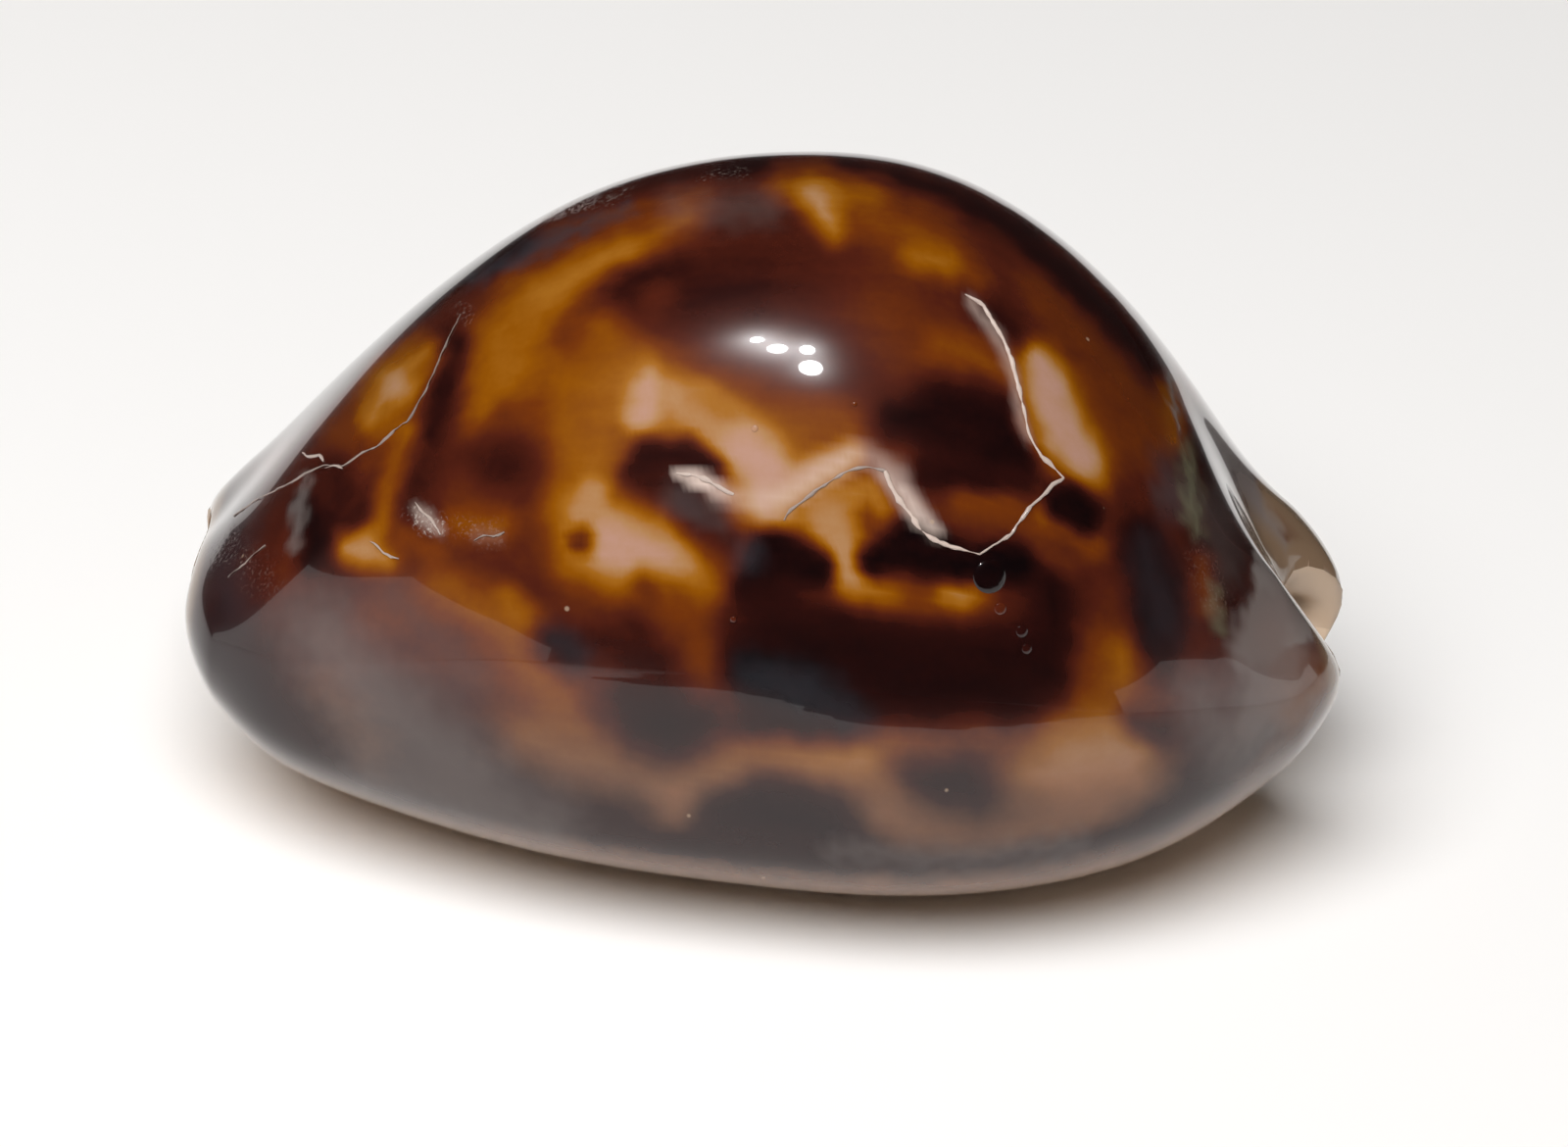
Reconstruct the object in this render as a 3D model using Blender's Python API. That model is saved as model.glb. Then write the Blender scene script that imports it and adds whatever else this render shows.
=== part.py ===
"""A large cowrie shell, resting on its base: one hollow piece with a toothed slit underneath.

The shell is a loft of C-shaped sections, from the front (anterior) canal at -X to the rear (posterior) canal at
+X. Each section runs round the outside, over one lip of the slit, back round the inside and over the other lip.
Up is +Z, the spire side is -Y and the outer lip's side is +Y. The origin is under the middle of the shell, on
the surface that it rests on. Run it with: blender --background --python part.py
"""
import bpy
import bmesh
import numpy as np

MM = 0.001

# Driving dimensions, in millimetres
HALF_LENGTH = 35.0
CREST_ROUNDNESS = 2.0       # exponent of the oval above the margins, 2 is an ellipse
BASE_ROUNDNESS = 2.3        # the same below the margins, where the base is flatter
CAVITY_ROUNDNESS = 2.0
REST_SOFTNESS = 0.5         # how softly the bulging base runs into the flat spot it rests on
RIM_ROUNDING = 2.6          # length over which the walls round off at both ends
END_START = 20.0            # distance from the middle where both ends begin to change towards their tips
REAR_NOTCH, FRONT_NOTCH = 4.0, 0.8      # how far the roof stops short of the tips of the lips
REAR_UNDERCUT, FRONT_UNDERCUT = 2.0, 2.0    # how far the underside stops short of them
REAR_GROOVE, FRONT_GROOVE = 3.0, 0.8    # depth of the groove along the roof, between the tips
GROOVE_HALF_WIDTH = 3.4
SPIRE_SIDE_SHORT = 0.4      # how much shorter the spire side's tips are than the outer lip's

# The outside: place along the shell, half width on the spire side and on the outer lip's side, height of the
# crest, of the margin and of the base. A base below zero is the flat spot that the shell rests on.
OUTSIDE = (
    (-35.0, 8.6, 8.0, 14.2, 11.0, 6.6),
    (-33.0, 11.4, 10.4, 15.9, 10.2, 4.6),
    (-29.0, 15.1, 13.2, 20.4, 9.2, 2.4),
    (-22.0, 18.8, 17.8, 27.8, 9.0, 0.6),
    (-12.0, 22.0, 21.6, 35.6, 8.6, -0.8),
    (0.0, 23.6, 23.6, 39.0, 8.4, -1.4),
    (8.0, 23.8, 23.6, 38.6, 8.4, -1.4),
    (16.0, 22.4, 21.8, 34.7, 8.6, -0.8),
    (24.0, 18.8, 17.6, 27.0, 9.4, 1.0),
    (29.0, 14.8, 13.6, 21.4, 10.4, 3.2),
    (33.0, 10.6, 9.8, 18.4, 11.4, 5.6),
    (35.0, 8.0, 7.2, 17.4, 12.2, 8.0),
)
# The hollow: place along the shell, half widths as above, height of the roof, of the widest part and of the floor
HOLLOW = (
    (-35.0, 2.7, 3.5, 12.0, 10.6, 9.2),
    (-33.0, 3.0, 4.2, 12.8, 10.6, 8.6),
    (-30.0, 4.2, 5.8, 14.8, 10.8, 8.0),
    (-22.0, 11.6, 11.6, 22.4, 10.8, 6.8),
    (-12.0, 16.6, 16.6, 31.6, 10.8, 6.4),
    (0.0, 18.8, 18.8, 36.0, 10.8, 6.4),
    (8.0, 18.8, 18.8, 35.6, 10.8, 6.4),
    (16.0, 17.0, 16.8, 31.6, 10.8, 6.6),
    (24.0, 12.0, 11.6, 22.8, 10.8, 7.2),
    (30.0, 5.4, 4.9, 14.3, 11.2, 8.4),
    (33.0, 4.2, 3.2, 13.1, 11.4, 9.2),
    (35.0, 3.9, 2.3, 12.8, 11.6, 10.2),
)
# The slit: place along the shell, its centre line, half its width at the teeth, and the roundness of its lips
SLIT = (
    (-35.0, 0.4, 1.7, 1.6),
    (-29.0, 1.4, 1.9, 2.4),
    (-18.0, 2.8, 2.0, 3.2),
    (0.0, 3.8, 1.7, 3.2),
    (16.0, 3.0, 1.6, 3.2),
    (26.0, 1.0, 1.6, 2.4),
    (35.0, -0.8, 1.7, 1.6),
)

# Teeth: the outer lip's are even, the spire side's strong in front and faint behind
TOOTH_PITCH = 2.3
OUTER_LIP_TEETH = 24
GROOVE_DEPTH = 0.9          # how deep the grooves between the teeth cut into the lip
SPIRE_SIDE_DEPTH = (        # place along the shell and share of that depth
    (-27.6, 0.7),
    (-14.0, 0.6),
    (-4.0, 0.25),
    (12.0, 0.2),
    (27.6, 0.5),
)

POINTS_AROUND = 29          # on the outside of a section, and again on its inside
POINTS_ON_LIP = 5
SECTIONS_AT_END = 7         # from the last tooth to the tips

SHELL_COLOUR = (0.19, 0.075, 0.028, 1.0)
SHELL_ROUGHNESS = 0.08


def smooth_through(knots, values, at):
    """A natural cubic spline through the values at the knots."""
    step = np.diff(knots)
    count = len(knots)
    system, rhs = np.eye(count), np.zeros(count)
    for i in range(1, count - 1):
        system[i, i - 1:i + 2] = step[i - 1], 2 * (step[i - 1] + step[i]), step[i]
        slopes = np.diff(values[i - 1:i + 2]) / step[i - 1:i + 1]
        rhs[i] = 6 * (slopes[1] - slopes[0])
    bend = np.linalg.solve(system, rhs)
    i = np.clip(np.searchsorted(knots, at) - 1, 0, count - 2)
    run, part = step[i], at - knots[i]
    slope = (values[i + 1] - values[i]) / run - run * (2 * bend[i] + bend[i + 1]) / 6
    return values[i] + part * (slope + part * (bend[i] / 2 + part * (bend[i + 1] - bend[i]) / (6 * run)))


def swing(x):
    """-1 at the front tips, 1 at the rear ones. Equal swings are short steps at the ends, which rounds them."""
    return np.arcsin(np.clip(np.asarray(x) / HALF_LENGTH, -1, 1)) * 2 / np.pi


def along(table, s):
    """The table's columns at the swings s."""
    table = np.array(table)
    knots = swing(table[:, 0])
    return [smooth_through(knots, column, s) for column in table.T[1:]]


def half_oval(angle, spire_side, lip_side, crest, middle, base, centre, roundness):
    """Across and up for an oval whose lower half is centred on the slit. The angle is 0 under it, pi on top."""
    low = np.cos(angle) > 0
    power = 2 / np.where(low, roundness, CREST_ROUNDNESS)
    across = np.abs(np.sin(angle)) ** power
    upright = np.abs(np.cos(angle)) ** power
    line = np.where(low, centre, 0.0)
    side = np.where(np.sin(angle) >= 0, lip_side, -spire_side)
    return line + (side - line) * across, middle + np.where(low, base - middle, crest - middle) * upright


def first_angle(reach, half_width, roundness):
    """The oval's angle at this reach from the slit's centre line."""
    return np.arcsin(np.clip(reach / half_width, 0, 1) ** (roundness / 2))


def end_share(x):
    """How much of the ends' own shape there is: none along the middle, all of it at the tips."""
    return np.clip((np.abs(x) - END_START) / (HALF_LENGTH - END_START), 0, 1) ** 2


def roof_groove(x, angle, y, line):
    """How deep the roof dips between the two tips."""
    depth = np.where(x > 0, REAR_GROOVE, FRONT_GROOVE) * end_share(x)
    return depth * np.exp(-((y - line) / GROOVE_HALF_WIDTH) ** 2) * (np.cos(angle) < 0)


def end_shift(x, angle):
    """How far the rim is drawn back at the roof and at the underside, so that the lips stand out as two tips."""
    notch = np.where(x > 0, REAR_NOTCH, FRONT_NOTCH) * np.clip(-np.cos(angle), 0, 1) ** 2
    undercut = np.where(x > 0, REAR_UNDERCUT, FRONT_UNDERCUT) * np.clip(np.cos(angle), 0, 1) ** 2
    short = SPIRE_SIDE_SHORT * np.clip(-np.sin(angle), 0, 1) ** 2
    return -np.sign(x) * end_share(x) * (notch + undercut + short)


def rest_flat(z):
    """Cuts the base off at zero, with a soft start to the flat spot."""
    soft = REST_SOFTNESS
    return np.where(z > soft, z, np.where(z < -soft, 0.0, (z + soft) ** 2 / (4 * soft)))


def grooves(x, share):
    """How far the lip is cut back at x: nothing on a tooth's crown, most half a pitch from it."""
    reach = TOOTH_PITCH * (OUTER_LIP_TEETH - 1) / 2
    inside = np.clip((reach + TOOTH_PITCH / 2 - np.abs(x)) / (TOOTH_PITCH / 2), 0, 1)
    wave = 0.5 - 0.5 * np.cos(2 * np.pi * (x - reach) / TOOTH_PITCH)
    return GROOVE_DEPTH * share * inside * wave


def lip_edge(outside, inside, side, line, gap, full, cut):
    """The rounded edge of one lip, from the end of the outside to the start of the inside."""
    turn = np.pi * np.arange(1, POINTS_ON_LIP + 1)[None, :] / (POINTS_ON_LIP + 1)
    share = ((1 - np.cos(turn)) / 2)[..., None]
    points = outside[:, None, :] * (1 - share) + inside[:, None, :] * share
    middle = (outside[:, 1:2] + inside[:, 1:2]) / 2
    bulge = np.maximum(side * (middle - line) - gap, 0.0) * full
    points[..., 1] -= side * (bulge - cut) * np.sin(turn)
    points[..., 2] += cut * np.cos(turn / 2) ** 2
    return points


def sections(s):
    """A closed ring of points for each swing: outside, spire side's lip, inside and outer lip."""
    s = s[:, None]
    spire_side, lip_side, crest, margin, base = along(OUTSIDE, s)
    hollow_spire, hollow_lip, roof, widest, floor = along(HOLLOW, s)
    line, gap, lip = along(SLIT, s)
    x = HALF_LENGTH * np.sin(np.pi * s / 2)
    step = np.linspace(0, 1, POINTS_AROUND)[None, :]

    start = first_angle(gap + lip, lip_side - line, BASE_ROUNDNESS)
    stop = 2 * np.pi - first_angle(gap + lip, spire_side + line, BASE_ROUNDNESS)
    angle = start + (stop - start) * step
    y, z = half_oval(angle, spire_side, lip_side, crest, margin, base, line, BASE_ROUNDNESS)
    z = rest_flat(z) - roof_groove(x, angle, y, line)
    shift = end_shift(x, angle)
    outside = np.stack([x + shift, y, z], -1)

    start = first_angle(gap + lip / 2, hollow_lip - line, CAVITY_ROUNDNESS)
    stop = 2 * np.pi - first_angle(gap + lip / 2, hollow_spire + line, CAVITY_ROUNDNESS)
    angle = start + (stop - start) * step
    y, z = half_oval(angle, hollow_spire, hollow_lip, roof, widest, floor, line, CAVITY_ROUNDNESS)
    inside = np.stack([x + shift, y, z], -1)

    from_tip = np.clip(1 - (HALF_LENGTH - np.abs(x)) / RIM_ROUNDING, 0, 1)
    full = np.sqrt(np.clip(1 - from_tip ** 2, 0, 1))
    wall_middle = (outside + inside) / 2
    outside = wall_middle + (outside - wall_middle) * full[..., None]
    inside = wall_middle + (inside - wall_middle) * full[..., None]

    depth = np.array(SPIRE_SIDE_DEPTH)
    spire_share = np.interp(x, depth[:, 0], depth[:, 1])
    spire_lip = lip_edge(outside[:, -1], inside[:, -1], -1, line, gap, full, grooves(x, spire_share))
    outer_lip = lip_edge(outside[:, 0], inside[:, 0], 1, line, gap, full, grooves(x, 1.0))
    return np.concatenate([outside, spire_lip, inside[:, ::-1], outer_lip[:, ::-1]], 1) * MM


def section_swings():
    """Two sections for each tooth, on its crown and in the groove beside it, and even steps on to the tips."""
    reach = TOOTH_PITCH * OUTER_LIP_TEETH / 2
    toothed = swing(np.linspace(-reach, reach, 2 * OUTER_LIP_TEETH + 1))
    rear = np.linspace(toothed[-1], 1, SECTIONS_AT_END + 1)[1:]
    return np.concatenate([-rear[::-1], toothed, rear])


def lofted(rings):
    """Wraps a grid of faces round the rings and closes it at the seam and at both ends."""
    count, around = rings.shape[:2]
    mesh = bmesh.new()
    bmesh.ops.create_grid(mesh, x_segments=count - 1, y_segments=around, size=1.0)
    ordered = sorted(mesh.verts, key=lambda v: (round(v.co.y, 5), round(v.co.x, 5)))
    for number, vertex in enumerate(ordered):
        row, column = divmod(number, count)
        vertex.co = rings[column, row % around]
    bmesh.ops.remove_doubles(mesh, verts=mesh.verts, dist=0.00002)
    bmesh.ops.recalc_face_normals(mesh, faces=mesh.faces)
    return mesh


def glazed_shell_material():
    material = bpy.data.materials.new("glazed_shell")
    material.use_nodes = True
    shader = material.node_tree.nodes["Principled BSDF"]
    shader.inputs["Base Color"].default_value = SHELL_COLOUR
    shader.inputs["Roughness"].default_value = SHELL_ROUGHNESS
    return material


def make_shell(collection):
    """The shell, with its origin under the middle of it on the surface that it rests on."""
    rings = sections(section_swings())
    low, high = rings.reshape(-1, 3).min(0), rings.reshape(-1, 3).max(0)
    rings[..., :2] -= ((low + high) / 2)[:2]
    mesh = lofted(rings)
    data = bpy.data.meshes.new("shell")
    mesh.to_mesh(data)
    mesh.free()
    data.shade_smooth()
    data.materials.append(glazed_shell_material())
    shell = bpy.data.objects.new("shell", data)
    collection.objects.link(shell)


for old in list(bpy.data.objects):
    bpy.data.objects.remove(old)
cowrie = bpy.data.collections.new("cowrie_shell")
bpy.context.scene.collection.children.link(cowrie)
make_shell(cowrie)
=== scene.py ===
"""The cowrie shell's looks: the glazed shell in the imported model's frame, with its markings, scars, teeth and gloss."""

import bpy
import bmesh
import numpy as np
from mathutils import Matrix, Vector, noise
from mathutils.bvhtree import BVHTree


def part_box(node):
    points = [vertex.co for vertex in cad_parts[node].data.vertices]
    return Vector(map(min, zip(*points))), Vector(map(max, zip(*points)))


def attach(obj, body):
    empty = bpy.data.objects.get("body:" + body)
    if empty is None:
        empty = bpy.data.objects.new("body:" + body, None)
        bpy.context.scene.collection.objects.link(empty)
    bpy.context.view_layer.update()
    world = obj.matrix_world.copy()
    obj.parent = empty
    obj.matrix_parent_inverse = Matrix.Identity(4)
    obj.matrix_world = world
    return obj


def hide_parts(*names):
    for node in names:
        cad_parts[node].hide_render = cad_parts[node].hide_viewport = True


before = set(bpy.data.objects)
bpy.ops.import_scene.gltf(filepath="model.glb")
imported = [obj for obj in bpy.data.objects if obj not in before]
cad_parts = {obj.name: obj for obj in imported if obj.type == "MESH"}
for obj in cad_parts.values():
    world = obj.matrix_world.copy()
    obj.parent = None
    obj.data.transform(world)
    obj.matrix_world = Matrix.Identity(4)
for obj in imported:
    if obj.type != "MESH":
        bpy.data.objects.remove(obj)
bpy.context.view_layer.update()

MM = 0.001

# The camera: where it stands round the shell, in degrees, and how far off, in millimetres
PHOTO_SIZE = (1600, 1170)
CAMERA_AZIMUTH = 2.26
CAMERA_ELEVATION = 28.0
CAMERA_ROLL = 2.94
CAMERA_DISTANCE = 350.0
CAMERA_TARGET = (0.98, 0.0, 12.86)
SENSOR_WIDTH = 36.0
FOCAL_LENGTH = 132.93

# The shell's form, in millimetres, the same as the solid's
HALF_LENGTH = 35.0
CREST_ROUNDNESS = 2.0
BASE_ROUNDNESS = 2.3
CAVITY_ROUNDNESS = 2.0
REST_SOFTNESS = 0.5
RIM_ROUNDING = 2.6
END_START = 20.0
REAR_NOTCH, FRONT_NOTCH = 4.0, 0.8
REAR_UNDERCUT, FRONT_UNDERCUT = 2.0, 2.0
REAR_GROOVE, FRONT_GROOVE = 3.0, 0.8
GROOVE_HALF_WIDTH = 3.4
SPIRE_SIDE_SHORT = 0.4
# Place along the shell, half width on the spire side and on the outer lip's side, height of crest, margin and base
OUTSIDE = (
    (-35.0, 8.6, 8.0, 14.2, 11.0, 6.6),
    (-33.0, 11.4, 10.4, 15.9, 10.2, 4.6),
    (-29.0, 15.1, 13.2, 20.4, 9.2, 2.4),
    (-22.0, 18.8, 17.8, 27.8, 9.0, 0.6),
    (-12.0, 22.0, 21.6, 35.6, 8.6, -0.8),
    (0.0, 23.6, 23.6, 39.0, 8.4, -1.4),
    (8.0, 23.8, 23.6, 38.6, 8.4, -1.4),
    (16.0, 22.4, 21.8, 34.7, 8.6, -0.8),
    (24.0, 18.8, 17.6, 27.0, 9.4, 1.0),
    (29.0, 14.8, 13.6, 21.4, 10.4, 3.2),
    (33.0, 10.6, 9.8, 18.4, 11.4, 5.6),
    (35.0, 8.0, 7.2, 17.4, 12.2, 8.0),
)
# Place along the shell, half widths as above, height of the hollow's roof, widest part and floor
HOLLOW = (
    (-35.0, 2.7, 3.5, 12.0, 10.6, 9.2),
    (-33.0, 3.0, 4.2, 12.8, 10.6, 8.6),
    (-30.0, 4.2, 5.8, 14.8, 10.8, 8.0),
    (-22.0, 11.6, 11.6, 22.4, 10.8, 6.8),
    (-12.0, 16.6, 16.6, 31.6, 10.8, 6.4),
    (0.0, 18.8, 18.8, 36.0, 10.8, 6.4),
    (8.0, 18.8, 18.8, 35.6, 10.8, 6.4),
    (16.0, 17.0, 16.8, 31.6, 10.8, 6.6),
    (24.0, 12.0, 11.6, 22.8, 10.8, 7.2),
    (30.0, 5.4, 4.9, 14.3, 11.2, 8.4),
    (33.0, 4.2, 3.2, 13.1, 11.4, 9.2),
    (35.0, 3.9, 2.3, 12.8, 11.6, 10.2),
)
# Place along the shell, the slit's centre line, half its width at the teeth, and the roundness of its lips
SLIT = (
    (-35.0, 0.4, 1.7, 1.6),
    (-29.0, 1.4, 1.9, 2.4),
    (-18.0, 2.8, 2.0, 3.2),
    (0.0, 3.8, 1.7, 3.2),
    (16.0, 3.0, 1.6, 3.2),
    (26.0, 1.0, 1.6, 2.4),
    (35.0, -0.8, 1.7, 1.6),
)
TOOTH_PITCH = 2.3
OUTER_LIP_TEETH = 24
GROOVE_DEPTH = 0.9
SPIRE_SIDE_DEPTH = ((-27.6, 0.7), (-14.0, 0.6), (-4.0, 0.25), (12.0, 0.2), (27.6, 0.5))
OUTER_LIP_REACH, SPIRE_SIDE_REACH = 3.4, 2.4    # how far the teeth run out over the base

POINTS_OUTSIDE = 286
POINTS_ON_LIP = 12
POINTS_INSIDE = 20          # at every fifteenth of the outside's, so that both walls meet at the tips
SECTIONS = 284

# Markings, drawn broad ones first, with a few strokes of painted shade among them, noted where they stand. Each is its
# tone (0 is near black, 1 pinkish tan), the softness of its edge and the places that its stroke runs through with its
# half width at each, in the photograph's pixels.
BASE_TONE = 0.30
MARKS_ON_CREST = (
    (0.22, 60, ((700, 300, 60), (800, 290, 64), (880, 340, 56))),
    (0.38, 50, ((900, 320, 40), (930, 360, 30))),
    (0.15, 30, ((700, 292, 14), (770, 295, 16))),
    (0.40, 24, ((672, 255, 10), (668, 295, 8))),
    (0.20, 30, ((680, 210, 14), (740, 205, 18), (790, 215, 14))),
    (0.20, 40, ((985, 280, 22), (1020, 320, 26), (1050, 370, 16))),
    (0.12, 24, ((1010, 300, 12), (1035, 335, 12))),
    (0.43, 40, ((1060, 290, 16), (1110, 340, 20), (1160, 400, 18), (1175, 450, 14))),
    (0.28, 30, ((1010, 225, 10), (1080, 270, 14), (1140, 330, 12), (1185, 390, 10))),
    # painted shade: near-black lines along the top outline as the camera sees it
    (0.08, 12, ((235, 470, 6), (300, 420, 8), (380, 345, 8), (450, 292, 8), (540, 240, 8), (620, 203, 7),
                (700, 180, 6), (780, 165, 5))),
    (0.08, 12, ((860, 165, 5), (960, 190, 6), (1040, 235, 8), (1100, 290, 8), (1160, 350, 8), (1195, 400, 8))),
    (0.42, 24, ((560, 235, 10), (640, 212, 10), (720, 195, 8))),
    (0.62, 24, ((800, 190, 8), (850, 195, 12), (890, 200, 10))),
    (0.94, 22, ((830, 198, 9), (843, 216, 9), (853, 234, 4))),
    (0.52, 26, ((885, 225, 14), (930, 235, 18), (965, 262, 14), (1000, 285, 8))),
    (0.68, 18, ((935, 262, 8), (968, 266, 8))),
)
MARKS_IN_FRONT = (
    (0.18, 40, ((235, 520, 30), (225, 580, 30), (240, 640, 24))),
    (0.62, 26, ((700, 222, 8), (640, 255, 12), (590, 282, 16), (540, 312, 30), (525, 350, 40), (505, 395, 28),
                (478, 440, 10))),
    (0.72, 20, ((640, 252, 7), (590, 277, 9), (560, 300, 10))),
    (0.50, 20, ((560, 360, 10), (600, 390, 14))),
    (0.13, 20, ((586, 345, 8), (608, 318, 14), (645, 288, 12), (690, 270, 8))),
    (0.66, 28, ((610, 335, 14), (625, 385, 22), (612, 440, 18), (600, 480, 18))),
    (0.10, 16, ((462, 350, 6), (452, 395, 11), (440, 445, 10))),
    (0.76, 24, ((432, 360, 8), (402, 392, 20), (378, 425, 16))),
    (0.90, 14, ((402, 392, 8),)),
    (0.45, 20, ((345, 445, 14), (360, 470, 10))),
    (0.15, 26, ((345, 480, 12), (340, 540, 16), (365, 520, 10))),
    (0.62, 14, ((414, 440, 6), (404, 485, 8), (392, 530, 9), (378, 552, 8))),
    (0.85, 16, ((352, 558, 10), (372, 562, 14), (398, 568, 8))),
    (0.05, 14, ((312, 520, 9), (322, 552, 11), (318, 575, 8))),
    (0.18, 20, ((430, 470, 12), (420, 510, 12), (425, 560, 10))),
    (0.24, 36, ((470, 465, 20), (520, 470, 30), (555, 500, 16))),
    (0.15, 26, ((505, 475, 12), (545, 470, 14))),
    (0.36, 20, ((520, 428, 10), (575, 430, 12))),
    (0.30, 30, ((450, 560, 20), (510, 570, 24), (560, 600, 20))),
    (0.56, 18, ((470, 535, 10), (510, 538, 10))),
    (0.45, 16, ((410, 550, 12), (440, 560, 10))),
)
MARKS_IN_MIDDLE = (
    # the pale middle in its gold, running down to the torn edges
    (0.50, 44, ((600, 355, 24), (650, 400, 44), (740, 430, 44), (820, 450, 34), (880, 462, 22))),
    (0.60, 40, ((575, 400, 20), (585, 470, 24), (600, 500, 20))),
    (0.66, 30, ((650, 395, 34), (700, 440, 46), (770, 480, 50), (800, 500, 40))),
    (0.50, 24, ((815, 425, 14), (870, 435, 12))),
    (0.95, 16, ((662, 378, 5), (660, 400, 16), (655, 420, 14))),
    (0.84, 18, ((690, 405, 14), (735, 430, 22), (760, 455, 24))),
    (0.72, 14, ((715, 405, 8), (750, 425, 8))),
    (0.97, 18, ((758, 455, 16), (782, 480, 22), (790, 508, 22))),
    (0.92, 14, ((795, 512, 12), (832, 484, 14), (868, 463, 8))),
    # the pale island with its ring spot, and the dark comma over it
    (0.64, 22, ((584, 520, 26), (610, 560, 46), (660, 578, 46), (712, 596, 22))),
    (0.97, 24, ((600, 525, 12), (625, 555, 28), (668, 574, 28), (690, 582, 14))),
    (0.85, 12, ((604, 500, 10), (602, 525, 10))),
    (0.60, 8, ((592, 553, 15),)),
    (0.30, 8, ((592, 554, 7),)),
    (0.18, 14, ((700, 505, 14), (715, 525, 20), (738, 545, 8))),
    (0.10, 14, ((646, 482, 8), (662, 466, 14), (700, 464, 15), (726, 478, 10))),
    (0.16, 12, ((655, 490, 10), (690, 492, 12))),
    # under the torn edges
    (0.74, 16, ((815, 525, 12), (850, 512, 22), (885, 500, 10), (900, 515, 8))),
    (0.62, 20, ((850, 545, 26), (868, 585, 26), (890, 612, 20), (935, 624, 16), (990, 614, 14))),
    (0.86, 14, ((846, 535, 18), (862, 575, 16), (876, 603, 12), (905, 618, 8))),
    (0.84, 10, ((965, 612, 6), (982, 611, 6))),
    (0.02, 12, ((893, 572, 14), (930, 556, 24), (978, 572, 18), (1000, 575, 10))),
    (0.03, 12, ((768, 600, 16), (795, 570, 26), (832, 582, 16))),
    (0.14, 16, ((770, 610, 8), (800, 605, 10))),
)
MARKS_BEHIND = (
    # the dark wedge and the pale patch on the two sides of the long scar
    (0.52, 24, ((960, 352, 14), (1000, 365, 18), (1030, 385, 14))),
    (0.05, 26, ((915, 425, 16), (960, 425, 34), (1010, 440, 40), (1045, 470, 18))),
    # painted shadow: a dark band under the dark wedge
    (0.10, 16, ((950, 480, 16), (1000, 490, 14), (1040, 500, 6))),
    (0.45, 14, ((985, 515, 12), (1030, 520, 14))),
    (0.66, 18, ((1060, 372, 20), (1078, 412, 34), (1100, 455, 32), (1130, 490, 16))),
    (0.97, 14, ((1060, 368, 8), (1072, 400, 18), (1090, 440, 20), (1112, 468, 14), (1130, 490, 6))),
    (0.40, 24, ((1120, 400, 14), (1160, 460, 20))),
    (0.55, 14, ((1075, 530, 18), (1105, 550, 20), (1130, 560, 8))),
    (0.02, 12, ((1088, 512, 18), (1106, 526, 18))),
    (0.05, 34, ((1070, 590, 22), (1085, 650, 26), (1070, 700, 22))),
    (0.35, 16, ((1060, 560, 12), (1090, 575, 10))),
    (0.24, 30, ((1150, 500, 18), (1150, 560, 16))),
    (0.07, 18, ((1165, 545, 16), (1180, 600, 26), (1185, 650, 24), (1190, 680, 12))),
    (0.14, 34, ((1225, 445, 20), (1240, 500, 30), (1255, 560, 28), (1262, 620, 12))),
    (0.42, 12, ((1228, 575, 8), (1232, 620, 8))),
    (0.62, 16, ((1193, 395, 8), (1200, 425, 8), (1198, 450, 5))),
    (0.45, 30, ((1120, 660, 22), (1115, 700, 24), (1080, 735, 14))),
    (0.66, 20, ((1143, 668, 8), (1148, 690, 12))),
)
MARKS_LOW = (
    (0.36, 30, ((600, 630, 24), (650, 650, 26))),
    (0.16, 24, ((620, 655, 14), (665, 670, 24), (650, 640, 14))),
    (0.68, 16, ((518, 612, 8), (530, 635, 12), (548, 640, 6))),
    (0.62, 30, ((445, 598, 12), (485, 618, 16), (520, 645, 18), (540, 668, 12))),
    (0.34, 20, ((660, 600, 12), (680, 640, 14))),
    (0.45, 24, ((690, 610, 14), (712, 655, 14), (722, 700, 12))),
    (0.07, 34, ((790, 640, 26), (880, 670, 46), (960, 690, 54), (1040, 690, 44))),
    (0.02, 20, ((765, 680, 24), (820, 700, 34), (880, 735, 14))),
    (0.02, 12, ((1012, 575, 18), (1040, 575, 16))),
)
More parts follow.
